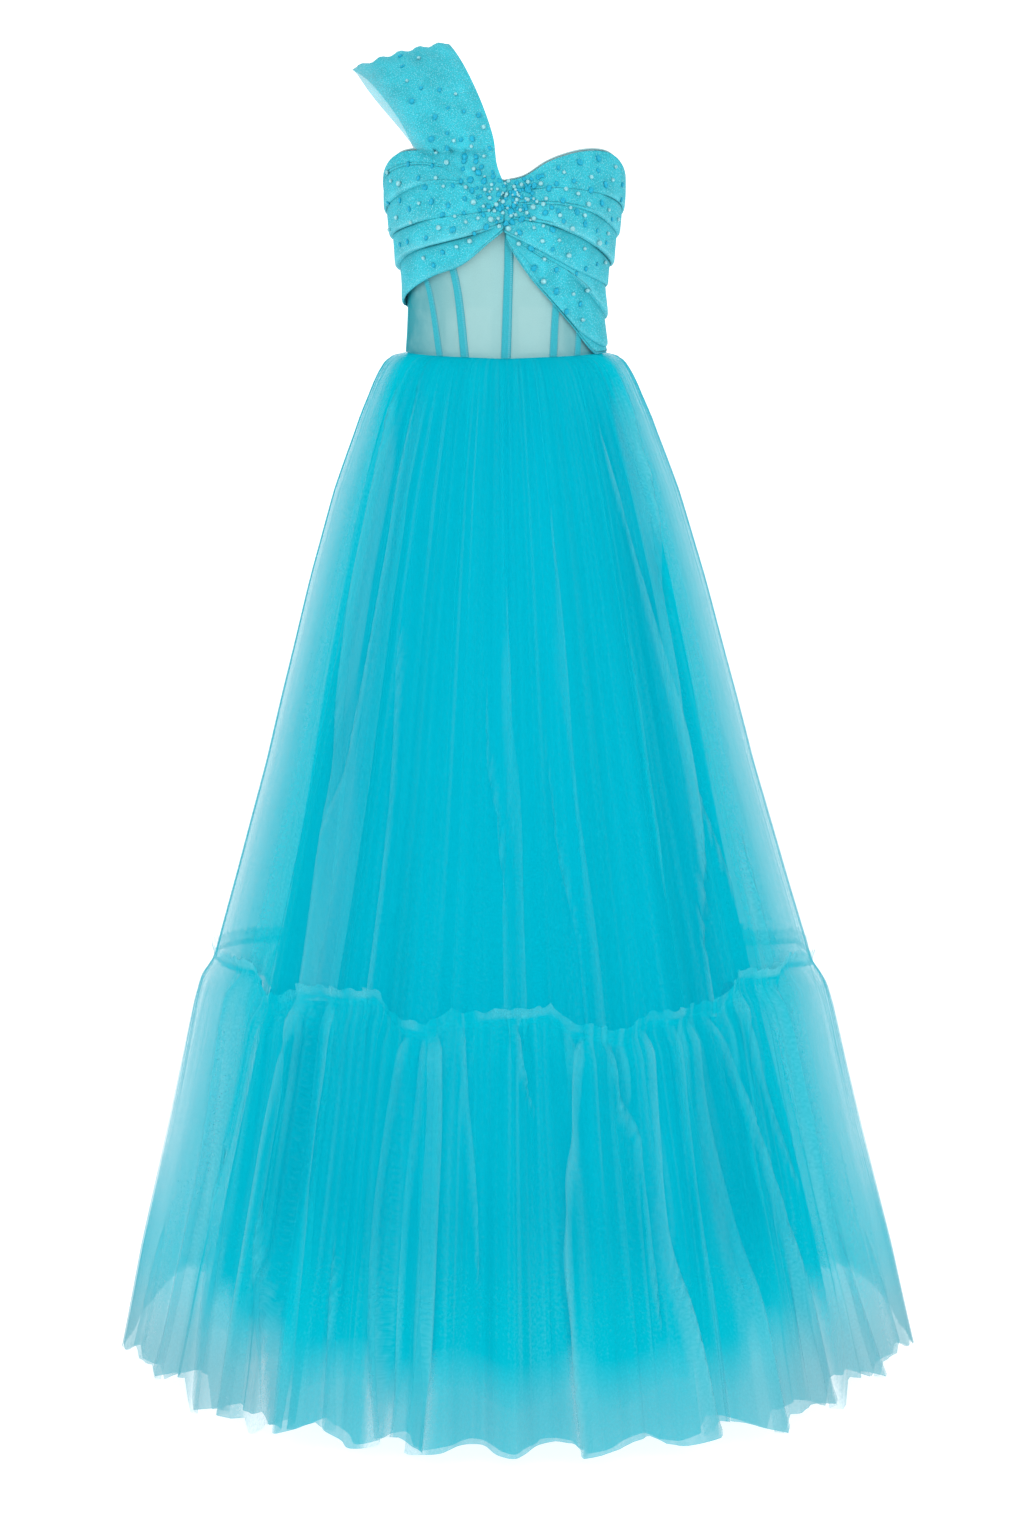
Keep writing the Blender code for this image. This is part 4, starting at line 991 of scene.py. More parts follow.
def laid_folds(laps, angle, drop):
    """Push, slip in degrees, paleness and hidden cloth of the listed folds laid over."""
    drop = drop + 0.0 * angle
    push, slip, pale, hidden = (np.zeros(drop.shape) for _ in range(4))
    base, gain, most = LAP_LIFT
    for one in all_round(laps):
        edge = read(one.rows, "edge", drop)
        width = np.maximum(read(one.rows, "width", drop), 0.0)
        band = np.maximum(read(one.rows, "band", drop), 0.0)
        reach = np.maximum(LAP_REACH * width, 0.3)
        local = np.clip((angle - edge + one.side * 0.5 * width) / reach, -1.0, 1.0)
        turn = math.pi * local
        shape = LAP_SHAPE * np.sin(turn) * (1.0 + np.cos(turn))
        there = ease(width, 0.0, 0.5)
        own_slip = -LAP_SLIP * reach * shape * there
        push -= one.side * np.minimum(base + gain * width, most) * there * shape
        slip += own_slip
        inwards = one.side * (edge - angle - own_slip)
        # The pale band near the upper layer's edge is a painted highlight.
        upper = ease(-one.side * local, 0.10, 0.25) * ease(band, 0.0, 0.4)
        fade = 1.0 - 0.45 * ease(inwards, 0.0, 0.8) - 0.55 * ease(inwards, 0.75 * band, band + 0.3)
        pale = np.maximum(pale, one.pale * upper * fade * ease(inwards, -0.6, -0.1))
        under = ease(one.side * local, -0.37, -0.29) * (1.0 - ease(one.side * local, 0.50, 0.66))
        hidden = np.maximum(hidden, under * there)
    return push, slip, pale, hidden


def streaks(shape, seed, cells):
    """Soft uneven streaks down the cloth, from 0 to 1."""
    rows, columns = shape
    values = np.random.default_rng(seed).random((4, cells))
    values[:, -1] = values[:, 0]
    across = np.linspace(0.0, cells - 1.0, columns)
    down = np.linspace(0.0, 3.0, rows)
    first = np.minimum(down.astype(int), 2)
    bands = np.array([np.interp(across, np.arange(cells), row) for row in values])
    return bands[first] + (bands[first + 1] - bands[first]) * (down - first)[:, None]


def cloth_marks(pale, lines, cover, hidden, seed, painted_hem_shade=0.0):
    """How pale the cloth looks with its painted highlights, how much painted shade greys it at the
    hem and how close its net is, at each point.
    """
    grain = 0.6 * streaks(pale.shape, seed, 420) + 0.4 * streaks(pale.shape, seed + 1, 1100)
    tone = np.maximum(pale, TONE_LINE * lines) + TONE_GRAIN * (grain - 0.5)
    cover = cover + 0.25 * np.maximum(tone, 0.0) + 0.10 * (grain - 0.5)
    return {"tone": np.clip(tone, -0.2, 1.0), "painted_hem_shade": painted_hem_shade + 0.0 * tone,
            "cover": np.clip(cover * (1.0 - UNDER_CLEAR * hidden), 0.0, 1.0)}


def round_side(angle, low, high):
    """0 in front and behind and 1 at the far sides, by how far out a place lies."""
    return ease(np.abs(np.sin(np.radians(angle))), low, high)


def at_side(angle):
    """1 at the far sides, where the lining doesn't reach behind the net, and 0 in front."""
    return round_side(angle, 0.80, 0.95)


def side_calm(angle, share):
    """Folds are flatter round the sides, by the given share."""
    return 1.0 - share * round_side(angle, 0.75, 0.90)


def like_front(angle):
    """The place in front that a place on the back hangs like."""
    behind = np.sign(angle) * (BACK_TURN - np.abs(angle)) / BACK_SHARE
    return np.where(np.abs(angle) > 90.0, behind, angle)


def net_cover(column, angle):
    return read_straight(NET_COVER, column, np.abs(like_front(angle)))


def layer_apart(sizes, layer, angle, drop):
    """How far inside the outer layer this one hangs, unevenly, and hardly at the far sides."""
    wobble = 1.0 + 0.4 * np.sin(0.11 * angle + 9.0 * drop) * np.sin(0.043 * angle - 5.0 * drop)
    return layer.inwards * sizes.layer_gap * (1.0 - SIDE_CLOSING * at_side(angle)) * wobble


def skirt_layer(sizes, layer):
    """One layer of the upper tier, from the waist down to the flounce's stitch line."""
    angle = ring_angles(layer.step)
    share = np.linspace(0.0, 1.0, layer.rows)[:, None] ** SKIRT_CROWDING
    drop = share * (read_straight(SEAM_DROPS, "drop", angle) + SKIRT_TURNING)
    gap = read_straight(SKIRT_OUTLINE, "gap", drop)
    half = read_straight(SKIRT_OUTLINE, "half_width", drop)
    half = half - layer_apart(sizes, layer, angle, drop) * np.interp(drop, *SKIRT_APART)
    push, slip, (_, pleats, _) = tier_folds(
        angle, drop, share, (SKIRT_FOLDS, SKIRT_FOLD_SEED, sizes.skirt_folds),
        (SKIRT_PLEATS, layer.seed + 1, sizes.skirt_pleats),
        (SKIRT_GATHERS, layer.seed + 2, sizes.skirt_gathers))
    laid, laid_slip, pale, hidden = (layer.laid * part
                                     for part in laid_folds(SKIRT_LAPS, angle, drop))
    points = ring_points(angle, drop, half, gap, push + laid, slip + np.radians(laid_slip) * half)
    follow_waist(points, angle, drop)
    opened = ease(drop, 0.01, 0.10)
    gathered = 0.25 * (1.0 - opened) * (1.0 - at_side(angle))
    cover = net_cover("tier", angle) + layer.closer + gathered
    lines = pleats.lines(angle, share) * opened
    marks = cloth_marks(pale * opened, lines, cover, hidden * opened, layer.seed + 5)
    return points, angle, marks


def seam_ring(sizes, angle):
    """Drop, half width and folds of the upper tier along the stitch line of the flounce."""
    drop = read_straight(SEAM_DROPS, "drop", angle)
    half = read_straight(SKIRT_OUTLINE, "half_width", drop)
    push, slip, _ = tier_folds(angle, drop, 1.0, (SKIRT_FOLDS, SKIRT_FOLD_SEED, sizes.skirt_folds))
    laid, laid_slip, _, _ = laid_folds(SKIRT_LAPS, angle, drop[None, :])
    return drop, half, push, slip, laid[0], np.radians(laid_slip[0]) * half


def flounce_layer(sizes, layer):
    """One layer of the flounce, with the header above its stitch line on the outer one."""
    angle = ring_angles(layer.step)
    share = np.linspace(0.0, 1.0, layer.rows)[:, None] ** FLOUNCE_CROWDING
    if not layer.inwards:
        share = np.concatenate([np.array(HEADER_ROWS)[:, None], share])
    seam, seam_half, seam_push, seam_slip, seam_laid, seam_laid_slip = seam_ring(sizes, angle)
    below = np.maximum(share, 0.0)
    up = np.maximum(share / HEADER_ROWS[0], 0.0)
    hem = HEM_DROP + 0.1 * layer.inwards * sizes.layer_gap
    drop = seam + below * (hem - seam) - up * HEADER_HEIGHT
    outer = read_straight(FLOUNCE_OUTLINE, "half_width", drop)
    gap = read_straight(FLOUNCE_OUTLINE, "gap", drop)
    inner_gap = layer_apart(sizes, layer, angle, drop) * (1.4 + 0.9 * below)
    half = seam_half + SEAM_CLEARANCE + up * HEADER_SPREAD
    half = half + (outer - inner_gap - half) * ease(share, 0.0, 0.07)

    push, slip, (folds, pleats, gathers) = tier_folds(
        angle, share, below, (FLOUNCE_FOLDS, FLOUNCE_FOLD_SEED, sizes.flounce_folds),
        (FLOUNCE_PLEATS, layer.seed + 1, sizes.flounce_pleats),
        (FLOUNCE_GATHERS, layer.seed + 2, sizes.flounce_gathers))
    kept = 1.0 - ease(share, 0.0, 0.45)
    kept_lap = 1.0 - ease(share, 0.0, 0.10)
    opened = ease(share, 0.0, 0.05)
    laid, laid_slip, pale, hidden = (layer.laid * part
                                     for part in laid_folds(FLOUNCE_LAPS, angle, drop))
    push = push + kept * seam_push + kept_lap * seam_laid + laid * opened
    slip = slip + kept * seam_slip + kept_lap * seam_laid_slip
    slip = slip + np.radians(laid_slip) * half * opened
    points = ring_points(angle, drop, half, gap, push, slip)
    hem_wave = HEM_WAVE * folds.wave(angle) + HEM_SWAY * folds.own(folds.sways, angle)
    seen = like_front(angle + np.degrees(slip / half))
    points[..., 2] -= below**3 * hem_wave + below**2 * read_straight(HEM_LINE, "lower", seen)
    points[..., 2] += up * HEADER_FRILL * pleats.wave(angle)

    lines = np.maximum(pleats.lines(angle, below), 0.8 * gathers.lines(angle, below))
    # The frill's pale streaks are a painted highlight.
    frill = ease(up, 0.0, 0.3) * ease(streaks(pale.shape, layer.seed + 9, 110), 0.35, 0.75)
    round_back = ease(np.abs(angle), 92.0, 104.0) * (1.0 - ease(np.abs(angle), 140.0, 155.0))
    hem_cover = net_cover("hem", angle) * (1.0 - HEM_BACK_CLEAR * round_back)
    cover = net_cover("flounce", angle)
    cover = cover + (hem_cover - cover) * ease(below, 0.42, 0.80) + layer.closer
    cover = cover + layer.seam_cover * (1.0 - ease(below, 0.02, 0.14)) * (1.0 - at_side(angle))
    # Painted shade that greys the net towards the hem, stronger further round the sides.
    outwards = ease(np.abs(like_front(angle)), 28.0, 46.0)
    painted_hem_shade = (0.3 + 0.6 * outwards) * ease(below, 0.68 + 0.10 * (1.0 - outwards), 0.97)
    pale = np.maximum(pale * opened, HEADER_LIGHT * frill)
    marks = cloth_marks(pale, lines, cover, hidden * opened, layer.seed + 5, painted_hem_shade)
    return points, angle, marks


def hang_panels(garment, points, angle, ending, marks, finish, slot):
    """Cuts a ring of cloth into the front and the two backs, with one cloth map for all."""
    across = cloth_across(points)
    down = cloth_down(points)
    width, fall = cut_of(points)
    made = []
    for panel in PANELS:
        first, last = np.searchsorted(angle, (panel.first - 1e-6, panel.last - 1e-6))
        part = slice(first, last + 1)
        own = {key: values[:, part] for key, values in marks.items()}
        node = f"{garment}_{panel.name}"
        piece = grid_piece(node + ending, points[:, part], own, across[part], down)
        made.append(finish_piece(piece, finish, slot, node))
        width * panel.share
    return made


def hang_tier(context, garment, layers, shape_layer):
    """Both tulle layers of a tier; such fine net hardly holds back the studio's light."""
    for layer in layers:
        points, angle, marks = shape_layer(context.scene.gown_sizes, layer)
        finish = tulle_finish(f"{garment}_tulle_{layer.name}", layer, context.scene.gown_colours)
        for piece in hang_panels(garment, points, angle, "_" + layer.name, marks, finish,
                                 "skirt_tulle"):
            piece.visible_shadow = False


# ---------------------------------------------------------------- drapes
def wrinkles(angle, height, seed, size):
    """Small soft unevenness, the same each time for one seed."""
    dice = np.random.default_rng(seed)
    total = 0.0
    for _ in range(7):
        turn = dice.uniform(0.05, 0.45)
        rise = dice.uniform(20.0, 150.0)
        start = dice.uniform(0.0, 6.28)
        total = total + np.sin(turn * angle + rise * height + start)
    return size * total / 7.0


def crossing_bulge(angle):
    """How far the bunched cloth stands out near the centre front."""
    return BUNCH_OUT * np.exp(-((angle / BUNCH_ANGLE) ** 2))


def drape_points(angle, bottom, top, creases, rest, seed):
    """Rows of a draped cloth from its top edge down, lip by lip."""
    aside = np.abs(angle)
    out = rest + crossing_bulge(angle)
    knots = [bottom]
    lifts = [np.full_like(angle, EDGE_LIFT)]
    for one in creases:
        knots.append(np.clip(read(one.path, "height", aside), knots[-1] + 0.0030, top - 0.0040))
        lifts.append(one.lift * ease(aside, one.fade_in, one.fade_in + 18.0))
    knots.append(top)
    rows = []
    # Painted shade just under the lip above each fold, and a painted highlight on its own lip.
    for low, high, lift, above in zip(knots[:-1], knots[1:], lifts, lifts[1:] + [0.0 * angle]):
        room = high - low
        lift = lift * ease(room, 0.0, 0.016)
        for rise, share in LIP_ROWS:
            rows.append((low + rise, share * lift, -LIP_LIGHT * share * lift / FULL_LIFT))
        for place, share in SLOPE_ROWS:
            push = share * lift + 0.0006 * math.sin(math.pi * place) * ease(room, 0.0, 0.03)
            shade = (above * np.exp((place - 1.0) * room / SHADE_REACH)
                     - LIP_LIGHT * lift * np.exp(-place * room / SHADE_REACH)) / FULL_LIFT
            rows.append((low + place * room, push, shade))
    rows.append((top, 0.0 * top, 0.0 * top))
    heights, pushes, shades = np.array(rows[::-1]).transpose(1, 0, 2)
    pushes = pushes + out + wrinkles(angle, heights, seed, 0.0005)
    turned, sunk = np.array(TURNED_ROWS).T[..., None]
    heights = np.concatenate([heights[0] - turned, heights, heights[-1] + turned[::-1]])
    pushes = np.concatenate([out - sunk, pushes, out - sunk[::-1]])
    shades = np.pad(shades, ((len(turned), len(turned)), (0, 0)))
    return body_point(angle + 0.0 * heights, heights, pushes), {"fold_shade": shades}


def strap_points(columns, rows):
    """The strap's cloth, pleated along its length and laid on the drapes at both ends."""
    at = np.linspace(0.0, len(STRAP) - 1.0, rows)
    along = np.stack([smooth_curve(range(len(STRAP)), column, at) for column in zip(*STRAP)],
                     axis=-1)
    inner, outer, pleat = along[:, :3], along[:, 3:6], along[:, 6:]
    across = np.linspace(0.0, 1.0, columns)
    flat = outer[:, None] + (inner - outer)[:, None] * across[None, :, None]
    front = np.linspace(8.0, -96.0, 120)
    back = np.linspace(-180.0, -84.0, 120)
    near_edge = 0.0045 + 0.0052 * ease(across, 0.0, 0.30)
    for row in flat:
        for point, near in zip(row, near_edge):
            x, y, height = point
            free = ease(height, STRAP_FREE_HEIGHT - 0.012, STRAP_FREE_HEIGHT + 0.012)
            if free >= 1.0:
                continue
            side = front if y < 0.0 else back
            around = body_point(side, height, near + crossing_bulge(side))
            surface = np.interp(-x, -around[:, 0], around[:, 1])
            laid = min(y, surface) if y < 0.0 else max(y, surface)
            laid = surface if free <= 0.0 else laid
            point[1] = laid * (1.0 - free) + y * free
    normal = unit(np.cross(np.gradient(flat, axis=1), np.gradient(flat, axis=0)))
    outwards = np.sum(normal[:, columns // 2] * (flat[:, columns // 2] - SHOULDER), axis=-1)
    normal *= np.sign(outwards)[:, None, None]
    free = ease(flat[..., 2], STRAP_FREE_HEIGHT - 0.01, STRAP_FREE_HEIGHT + 0.03)
    crown = STRAP_CROWN * np.sin(math.pi * across) * free
    pleats = pleat * (0.5 - 0.5 * np.cos(2.0 * math.pi * STRAP_PLEATS * across))
    ripple = wrinkles(600.0 * across, flat[..., 2] * 0.4, 5, 0.0005)
    return (flat + normal * (crown + pleats + ripple * free)[..., None])[:, ::-1]


# ---------------------------------------------------------------- operators
class GOWN_OT_corset(bpy.types.Operator):
    """Makes the ten mesh panels of the corset and the rolled edge of its neckline"""
    bl_idname = "gown.corset"
    bl_label = "Corset panels"

    def execute(self, context):
        finish = mesh_finish(context.scene.gown_colours)
        shares = np.linspace(1.0, 0.0, 34)[:, None]
        for name, first, last in zip(CORSET_PANELS, CORSET_SEAMS, CORSET_SEAMS[1:]):
            widest = max(last.waist - first.waist, last.neck - first.neck)
            across = np.linspace(0.0, 1.0, max(6, round(widest / 2.0)))
            start = between_seams(first, shares)
            angle = start + (between_seams(last, shares) - start) * across
            points = body_point(angle, corset_height(angle, shares), MESH_OUT)
            cloth_piece("corset_" + name, "_mesh", points, finish, "sheer_mesh")
        self.bind_neckline(context)
        return {"FINISHED"}

    def bind_neckline(self, context):
        radius = context.scene.gown_sizes.neck_binding
        angle = np.linspace(-180.0, 180.0, 241)
        ring = np.linspace(0.0, 2.0 * math.pi, 9)[:, None]
        height = mirrored(NECKLINE, angle) + radius * np.sin(ring)
        points = body_point(angle + 0.0 * ring, height, MESH_OUT + radius * np.cos(ring))
        piece = grid_piece("neck_edge", points)
        bpy.ops.object.mode_set(mode="EDIT")
        bpy.ops.mesh.select_all(action="SELECT")
        bpy.ops.mesh.remove_doubles(threshold=0.00002)
        bpy.ops.mesh.normals_make_consistent(inside=False)
        bpy.ops.object.mode_set(mode="OBJECT")
        base = tint(context.scene.gown_colours.glitter, 0.5, 0.22)
        finish_piece(piece, plain_finish("neck_edge", base, 0.6, 500.0), "sheer_mesh")


class GOWN_OT_bones(bpy.types.Operator):
    """Makes the stitched channels that hold the corset's bones"""
    bl_idname = "gown.bones"
    bl_label = "Bone channels"

    def execute(self, context):
        sizes = context.scene.gown_sizes
        finish = boning_finish(context.scene.gown_colours)
        shares = np.linspace(0.93, 0.0, 40)[:, None]
        across = np.linspace(-1.0, 1.0, 11)
        out = CHANNEL_OUT + sizes.bone_height * np.sqrt(np.maximum(0.0, 1.0 - across**4))
        for seam in CORSET_SEAMS[1:-1]:
            middle = between_seams(seam, shares)
            height = corset_height(middle, shares)
            place = body_place(middle, height)
            radius = np.hypot(place[..., 0], place[..., 1])
            angle = middle + np.degrees(0.5 * sizes.bone_width / radius) * across
            piece = grid_piece(seam.bone + "_channel", body_point(angle, height, out))
            finish_piece(piece, finish, "bone_channel", seam.bone)
        return {"FINISHED"}


class GOWN_OT_drapes(bpy.types.Operator):
    """Makes the pleated drapes over the bust and the back"""
    bl_idname = "gown.drapes"
    bl_label = "Bust and back drapes"

    def execute(self, context):
        finish = drape_finish("draped_tulle", context.scene.gown_colours)
        for drape in DRAPES:
            columns = max(8, round((drape.last - drape.first) / 1.2))
            angle = np.linspace(drape.first, drape.last, columns)
            points, marks = drape_points(angle, mirrored(drape.edge, angle),
                                         mirrored(NECKLINE, angle) - NECK_MARGIN, drape.creases,
                                         DRAPE_REST + drape.raised, drape.seed)
            cloth_piece(drape.node, "_cloth", points, finish, "draped_tulle",
                        marks=marks)
        return {"FINISHED"}


class GOWN_OT_sash(bpy.types.Operator):
    """Makes the sash tail that runs from the crossing down to the left side of the waist"""
    bl_idname = "gown.sash"
    bl_label = "Sash tail"

    def execute(self, context):
        finish = drape_finish("sash_tulle", context.scene.gown_colours)
        angle = np.linspace(1.5, SIDE_ANGLE, 84)
        bottom = np.maximum(mirrored(SASH_BOTTOM, angle), mirrored(WAIST, angle) + 0.0006)
        points, marks = drape_points(angle, bottom, mirrored(SASH_TOP, angle) + 0.004,
                                     TAIL_CREASES, DRAPE_REST - 0.0010, 35)
        cloth_piece("sash_tail", "_cloth", points, finish, "draped_tulle",
                    marks=marks)
        return {"FINISHED"}


class GOWN_OT_strap(bpy.types.Operator):
    """Makes the wide pleated strap over the right shoulder"""
    bl_idname = "gown.strap"
    bl_label = "Shoulder strap"

    def execute(self, context):
        points = strap_points(61, 110)
        width = float(cloth_across(points)[-1])
        finish = drape_finish("strap_tulle", context.scene.gown_colours, 0.34, width)
        cloth_piece("shoulder_strap", "_cloth", points, finish, "draped_tulle")
        return {"FINISHED"}


class GOWN_OT_beads(bpy.types.Operator):
    """Sews the beads on, thick at the crossing and thinner further out"""
    bl_idname = "gown.beads"
    bl_label = "Beads"

    def execute(self, context):
        colours = context.scene.gown_colours
        large = context.scene.gown_sizes.bead_large
        small = context.scene.gown_sizes.bead_small
        ground = self.ground()
        dice = np.random.default_rng(BEAD_SEED)
        dark = self.front(ground, DARK_LARGE, large, dice)
        dark += self.front(ground, DARK_SMALL, small, dice)
        dark += self.front(ground, self.cluster(dice, 64), 0.8 * small, dice)
        pale = self.front(ground, PALE_LARGE, 0.85 * large, dice)
        pale += self.front(ground, PALE_SMALL, 0.85 * small, dice)
        pale += self.front(ground, self.cluster(dice, 26), 0.65 * small, dice)
        self.sew("beads_dark", dark, (0.86, 1.12, 0.55), 0.5,
                 bead_finish("bead_turquoise", colours.bead, 0.45, 0.12))
        self.sew("beads_pale", pale, (1.0, 1.0, 0.85), 0.2,
                 bead_finish("bead_pearl", colours.pearl, 0.3, 0.35))
        return {"FINISHED"}

    def ground(self):
        """The cloth that the beads are sewn to, as one tree of faces."""
        corners, faces = [], []
        for node in ("bust_drape_right", "bust_drape_left", "sash_tail", "shoulder_strap"):
            mesh = bpy.data.objects[node + "_cloth"].data
            start = len(corners)
            corners += [vertex.co.copy() for vertex in mesh.vertices]
            faces += [[start + i for i in face.vertices] for face in mesh.polygons]
        return BVHTree.FromPolygons(corners, faces)

    def cluster(self, dice, number):
        """Places thrown round the crossing, in millimetres."""
        return dice.normal(0.0, 1.0, (number, 2)) * CLUSTER_SPREAD + CLUSTER_MIDDLE

    def front(self, ground, places, size, dice):
        """Beads under places seen from the front: centre, outward direction, size and turn."""
        eye = Vector(CAMERA_PLACE)
        found = []
        for x, z in places:
            target = Vector((MM * x, BEAD_PLANE, MM * z))
            hit, normal, _, _ = ground.ray_cast(eye, (target - eye).normalized())
            if hit is None or hit.y > BEAD_BACKMOST:
                continue
            if normal.dot(eye - hit) < 0:
                normal = -normal
            found.append((hit, normal, size * dice.uniform(0.86, 1.14), dice.uniform(-0.9, 0.9)))
        return found

    def sew(self, name, beads, shape, sink, finish):
        """Models one bead and lays a copy at each place."""
        bpy.ops.object.select_all(action="DESELECT")
        bpy.ops.mesh.primitive_uv_sphere_add(segments=10, ring_count=7, radius=0.5)
        model = reshape(shape)
        placings = []
        for place, normal, size, turn in beads:
            up = normal.orthogonal() if abs(normal.z) > 0.95 else Vector((0, 0, 1))
            side = up.cross(normal).normalized()
            rise = normal.cross(side).normalized()
            along = side * math.cos(turn) + rise * math.sin(turn)
            axes = np.array([along, normal.cross(along), normal]) * size
            centre = np.array(place) + np.array(normal) * size * shape[2] * 0.5 * (1.0 - sink)
            placings.append((axes, centre))
        finish_piece(repeat_shape(name, model, placings), finish, None)


class GOWN_OT_zip(bpy.types.Operator):
    """Makes the tape and the coil of the concealed zip inside the centre back"""
    bl_idname = "gown.zip"
    bl_label = "Concealed zip"

    def execute(self, context):
        colours = context.scene.gown_colours
        shares = np.linspace(0.985, 0.005, 40)[:, None]
        angle = 180.0 + np.linspace(-8.4, 8.4, 13) + 0.0 * shares
        points = body_point(angle, corset_height(180.0, shares), -0.0020)
        cloth_piece("zip_tape", "_cloth", points,
                    plain_finish("zip_tape", colours.zip_tape, 0.6, 700.0), "zip_tape")
        finish_piece(self.coil(), plain_finish("zip_coil", colours.boning, 0.35, 900.0),
                     "zip_tape")
        return {"FINISHED"}

    def coil(self):
        """Two rows of coil loops that lock together down the middle of the tape."""
        bpy.ops.object.select_all(action="DESELECT")
        bpy.ops.mesh.primitive_torus_add(major_segments=8, minor_segments=4, major_radius=0.0012,
                                         minor_radius=0.00036)
        loop = reshape((1.0, 0.5, 1.2))
        low = mirrored(WAIST, 180.0) + 0.002
        high = 0.97 * mirrored(NECKLINE, 180.0) - 0.004
        placings = []
        for number, height in enumerate(np.linspace(low, high, 90)):
            aside = np.array((0.0006 if number % 2 else -0.0006, 0.0, 0.0))
            placings.append((np.eye(3), body_point(180.0, height, -0.0032) + aside))
        return repeat_shape("zip_coil", loop, placings)


class GOWN_OT_lining(bpy.types.Operator):
    """Makes the satin lining under the skirt"""
    bl_idname = "gown.lining"
    bl_label = "Skirt lining"

    def execute(self, context):
        angle = ring_angles(1.0)
        share = np.linspace(0.0, 1.0, 40)[:, None] + 0.0 * angle
        drop = share * LINING_LENGTH
        half = read(LINING_OUTLINE, "half_width", drop)
        gap = read(LINING_OUTLINE, "gap", drop)
        folds = Folds(LINING_FOLD_SEED, LINING_FOLDS, LINING_LEAN)
        push, slip = folds.push_and_slip(angle, LINING_DEPTH * share**1.6, share)
        points = ring_points(angle, drop, half, gap, push, slip)
        follow_waist(points, angle, drop)
        points[..., 2] -= LINING_HEM_WAVE * share**6 * folds.wave(angle)
        soft = LINING_FADE[0] + LINING_FADE[1] * round_side(angle, 0.7, 0.95)
        marks = {"cover": 1.0 - 0.9 * ease(drop, LINING_LENGTH - soft, LINING_LENGTH + 0.002)}
        hang_panels("lining", points, angle, "_satin", marks,
                    lining_finish(context.scene.gown_colours), "lining_satin")
        return {"FINISHED"}


class GOWN_OT_skirt(bpy.types.Operator):
    """Makes the two gathered tulle layers of the upper tier"""
    bl_idname = "gown.skirt"
    bl_label = "Skirt tier"

    def execute(self, context):
        hang_tier(context, "skirt", SKIRT_LAYERS, skirt_layer)
        return {"FINISHED"}


class GOWN_OT_flounce(bpy.types.Operator):
    """Makes the two gathered tulle layers of the flounce, and its header"""
    bl_idname = "gown.flounce"
    bl_label = "Flounce"

    def execute(self, context):
        hang_tier(context, "flounce", FLOUNCE_LAYERS, flounce_layer)
        return {"FINISHED"}


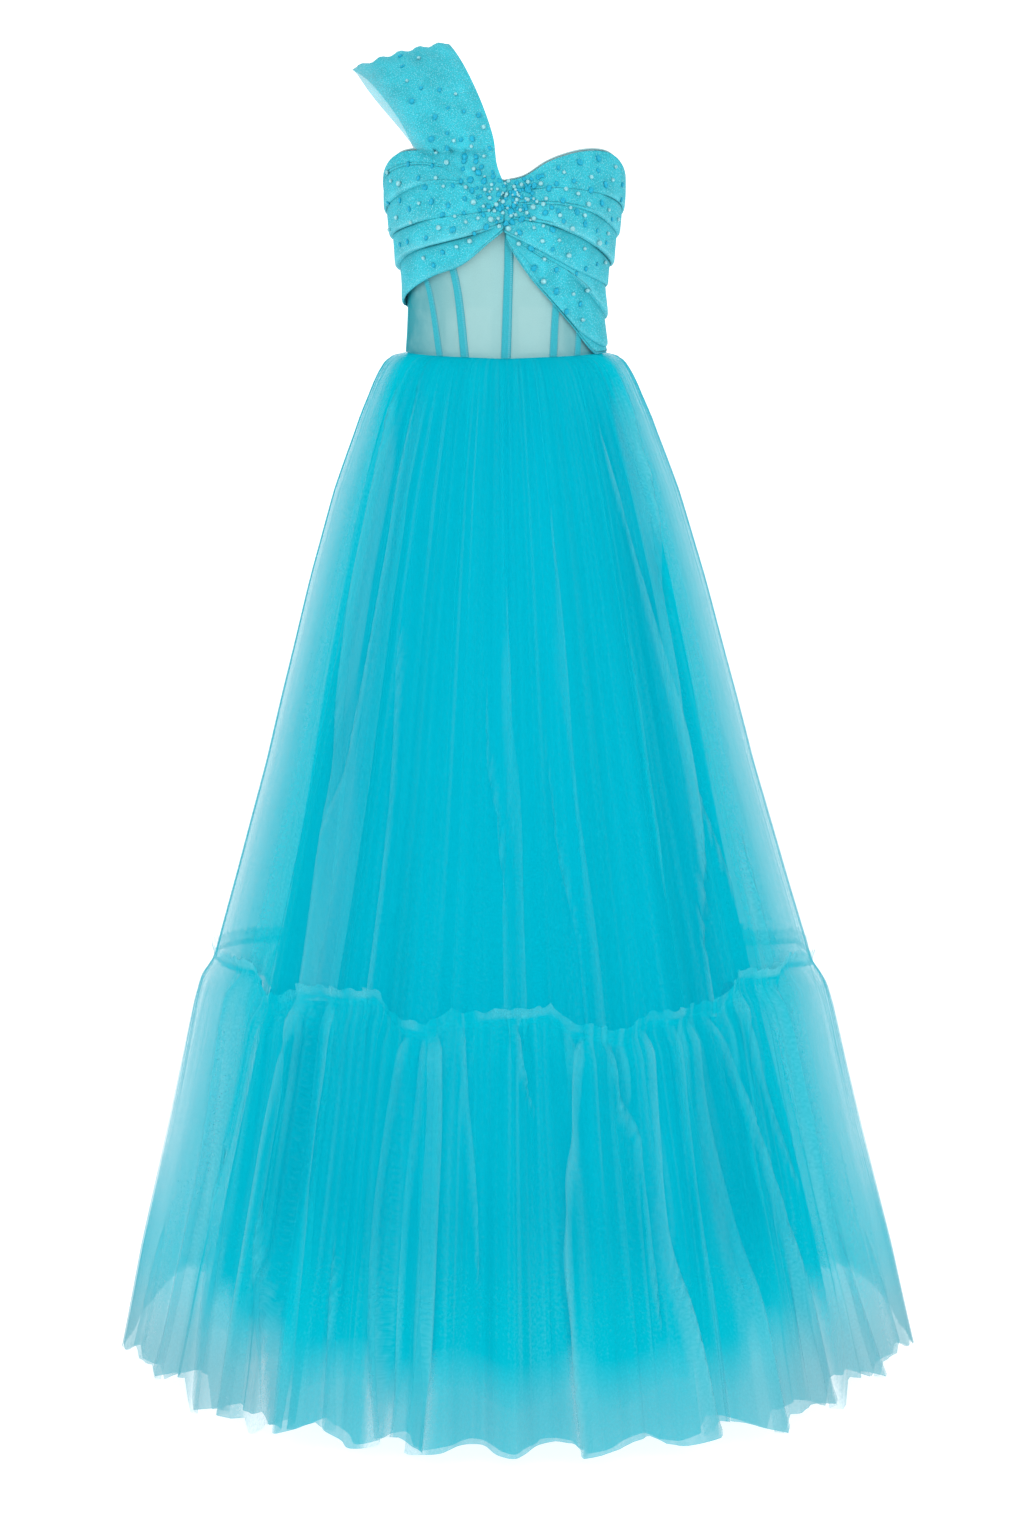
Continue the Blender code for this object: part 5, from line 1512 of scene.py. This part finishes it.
class GOWN_OT_stage(bpy.types.Operator):
    """Sets up the pale floor, the soft lights and the camera"""
    bl_idname = "gown.stage"
    bl_label = "Stage"

    def execute(self, context):
        scene = context.scene
        self.floor(scene.gown_colours)
        for light in LIGHTS:
            self.light(light)
        world = bpy.data.worlds.new("studio")
        world.use_nodes = True
        background = world.node_tree.nodes["Background"]
        background.inputs[0].default_value = WHITE
        background.inputs[1].default_value = WORLD_GLOW
        scene.world = world
        lens = bpy.data.cameras.new("camera")
        lens.lens = CAMERA_LENS
        lens.sensor_width = CAMERA_SENSOR
        camera = bpy.data.objects.new("camera", lens)
        camera.location = CAMERA_PLACE
        camera.rotation_euler = (math.radians(90.0 - CAMERA_PITCH), 0.0, 0.0)
        scene.collection.objects.link(camera)
        scene.camera = camera
        scene.view_settings.view_transform = "Standard"
        scene.cycles.transparent_max_bounces = 24
        scene.cycles.max_bounces = 2
        return {"FINISHED"}

    def floor(self, colours):
        """A floor that sweeps up behind the gown."""
        turn = np.linspace(0.0, 0.5 * math.pi, 12)[1:]
        sweep = [(SWEEP_START + SWEEP_RADIUS * math.sin(t), SWEEP_RADIUS * (1.0 - math.cos(t)))
                 for t in turn]
        profile = np.array([(-FLOOR_REACH, 0.0), (SWEEP_START, 0.0), *sweep,
                            (SWEEP_START + SWEEP_RADIUS, SWEEP_TOP)])[::-1]
        across = np.array([-FLOOR_REACH, FLOOR_REACH])
        points = np.stack(np.broadcast_arrays(across, profile[:, :1],
                                              profile[:, 1:] + FLOOR_HEIGHT), axis=-1)
        piece = grid_piece("studio_floor", points)
        finish = Finish("studio_floor", Base_Color=tint(colours.floor), Roughness=0.9,
                        Specular_IOR_Level=0.0, Emission_Color=WHITE,
                        Emission_Strength=FLOOR_GLOW)
        piece.data.materials.append(finish.material)

    def light(self, light):
        lamp = bpy.data.lights.new(light.name, "AREA")
        lamp.size = light.size
        lamp.energy = light.power
        thing = bpy.data.objects.new(light.name, lamp)
        thing.location = light.place
        aim = Vector((0.0, 0.0, -0.3)) - Vector(light.place)
        thing.rotation_euler = aim.to_track_quat("-Z", "Y").to_euler()
        bpy.context.scene.collection.objects.link(thing)


class GOWN_PT_panel(bpy.types.Panel):
    """Sizes, colours and one button for each group of pieces"""
    bl_idname = "GOWN_PT_panel"
    bl_label = "Ball gown"
    bl_space_type = "VIEW_3D"
    bl_region_type = "UI"
    bl_category = "Gown"

    def draw(self, context):
        layout = self.layout
        for group in (context.scene.gown_sizes, context.scene.gown_colours):
            box = layout.box()
            for key in group.__annotations__:
                box.prop(group, key)
        for operator in OPERATORS:
            layout.operator(operator.bl_idname)


OPERATORS = (
    GOWN_OT_stage, GOWN_OT_corset, GOWN_OT_bones, GOWN_OT_drapes, GOWN_OT_sash, GOWN_OT_strap,
    GOWN_OT_beads, GOWN_OT_zip, GOWN_OT_lining, GOWN_OT_skirt, GOWN_OT_flounce,
)
CLASSES = (GownSizes, GownColours) + OPERATORS + (GOWN_PT_panel,)


def register():
    for part in CLASSES:
        bpy.utils.register_class(part)
    bpy.types.Scene.gown_sizes = PointerProperty(type=GownSizes)
    bpy.types.Scene.gown_colours = PointerProperty(type=GownColours)


def unregister():
    del bpy.types.Scene.gown_colours
    del bpy.types.Scene.gown_sizes
    for part in reversed(CLASSES):
        bpy.utils.unregister_class(part)


def main():
    register()
    bpy.ops.gown.stage()
    bpy.ops.gown.corset()
    bpy.ops.gown.bones()
    bpy.ops.gown.drapes()
    bpy.ops.gown.sash()
    bpy.ops.gown.strap()
    bpy.ops.gown.beads()
    bpy.ops.gown.zip()
    bpy.ops.gown.lining()
    bpy.ops.gown.skirt()
    bpy.ops.gown.flounce()


if __name__ == "__main__":
    main()
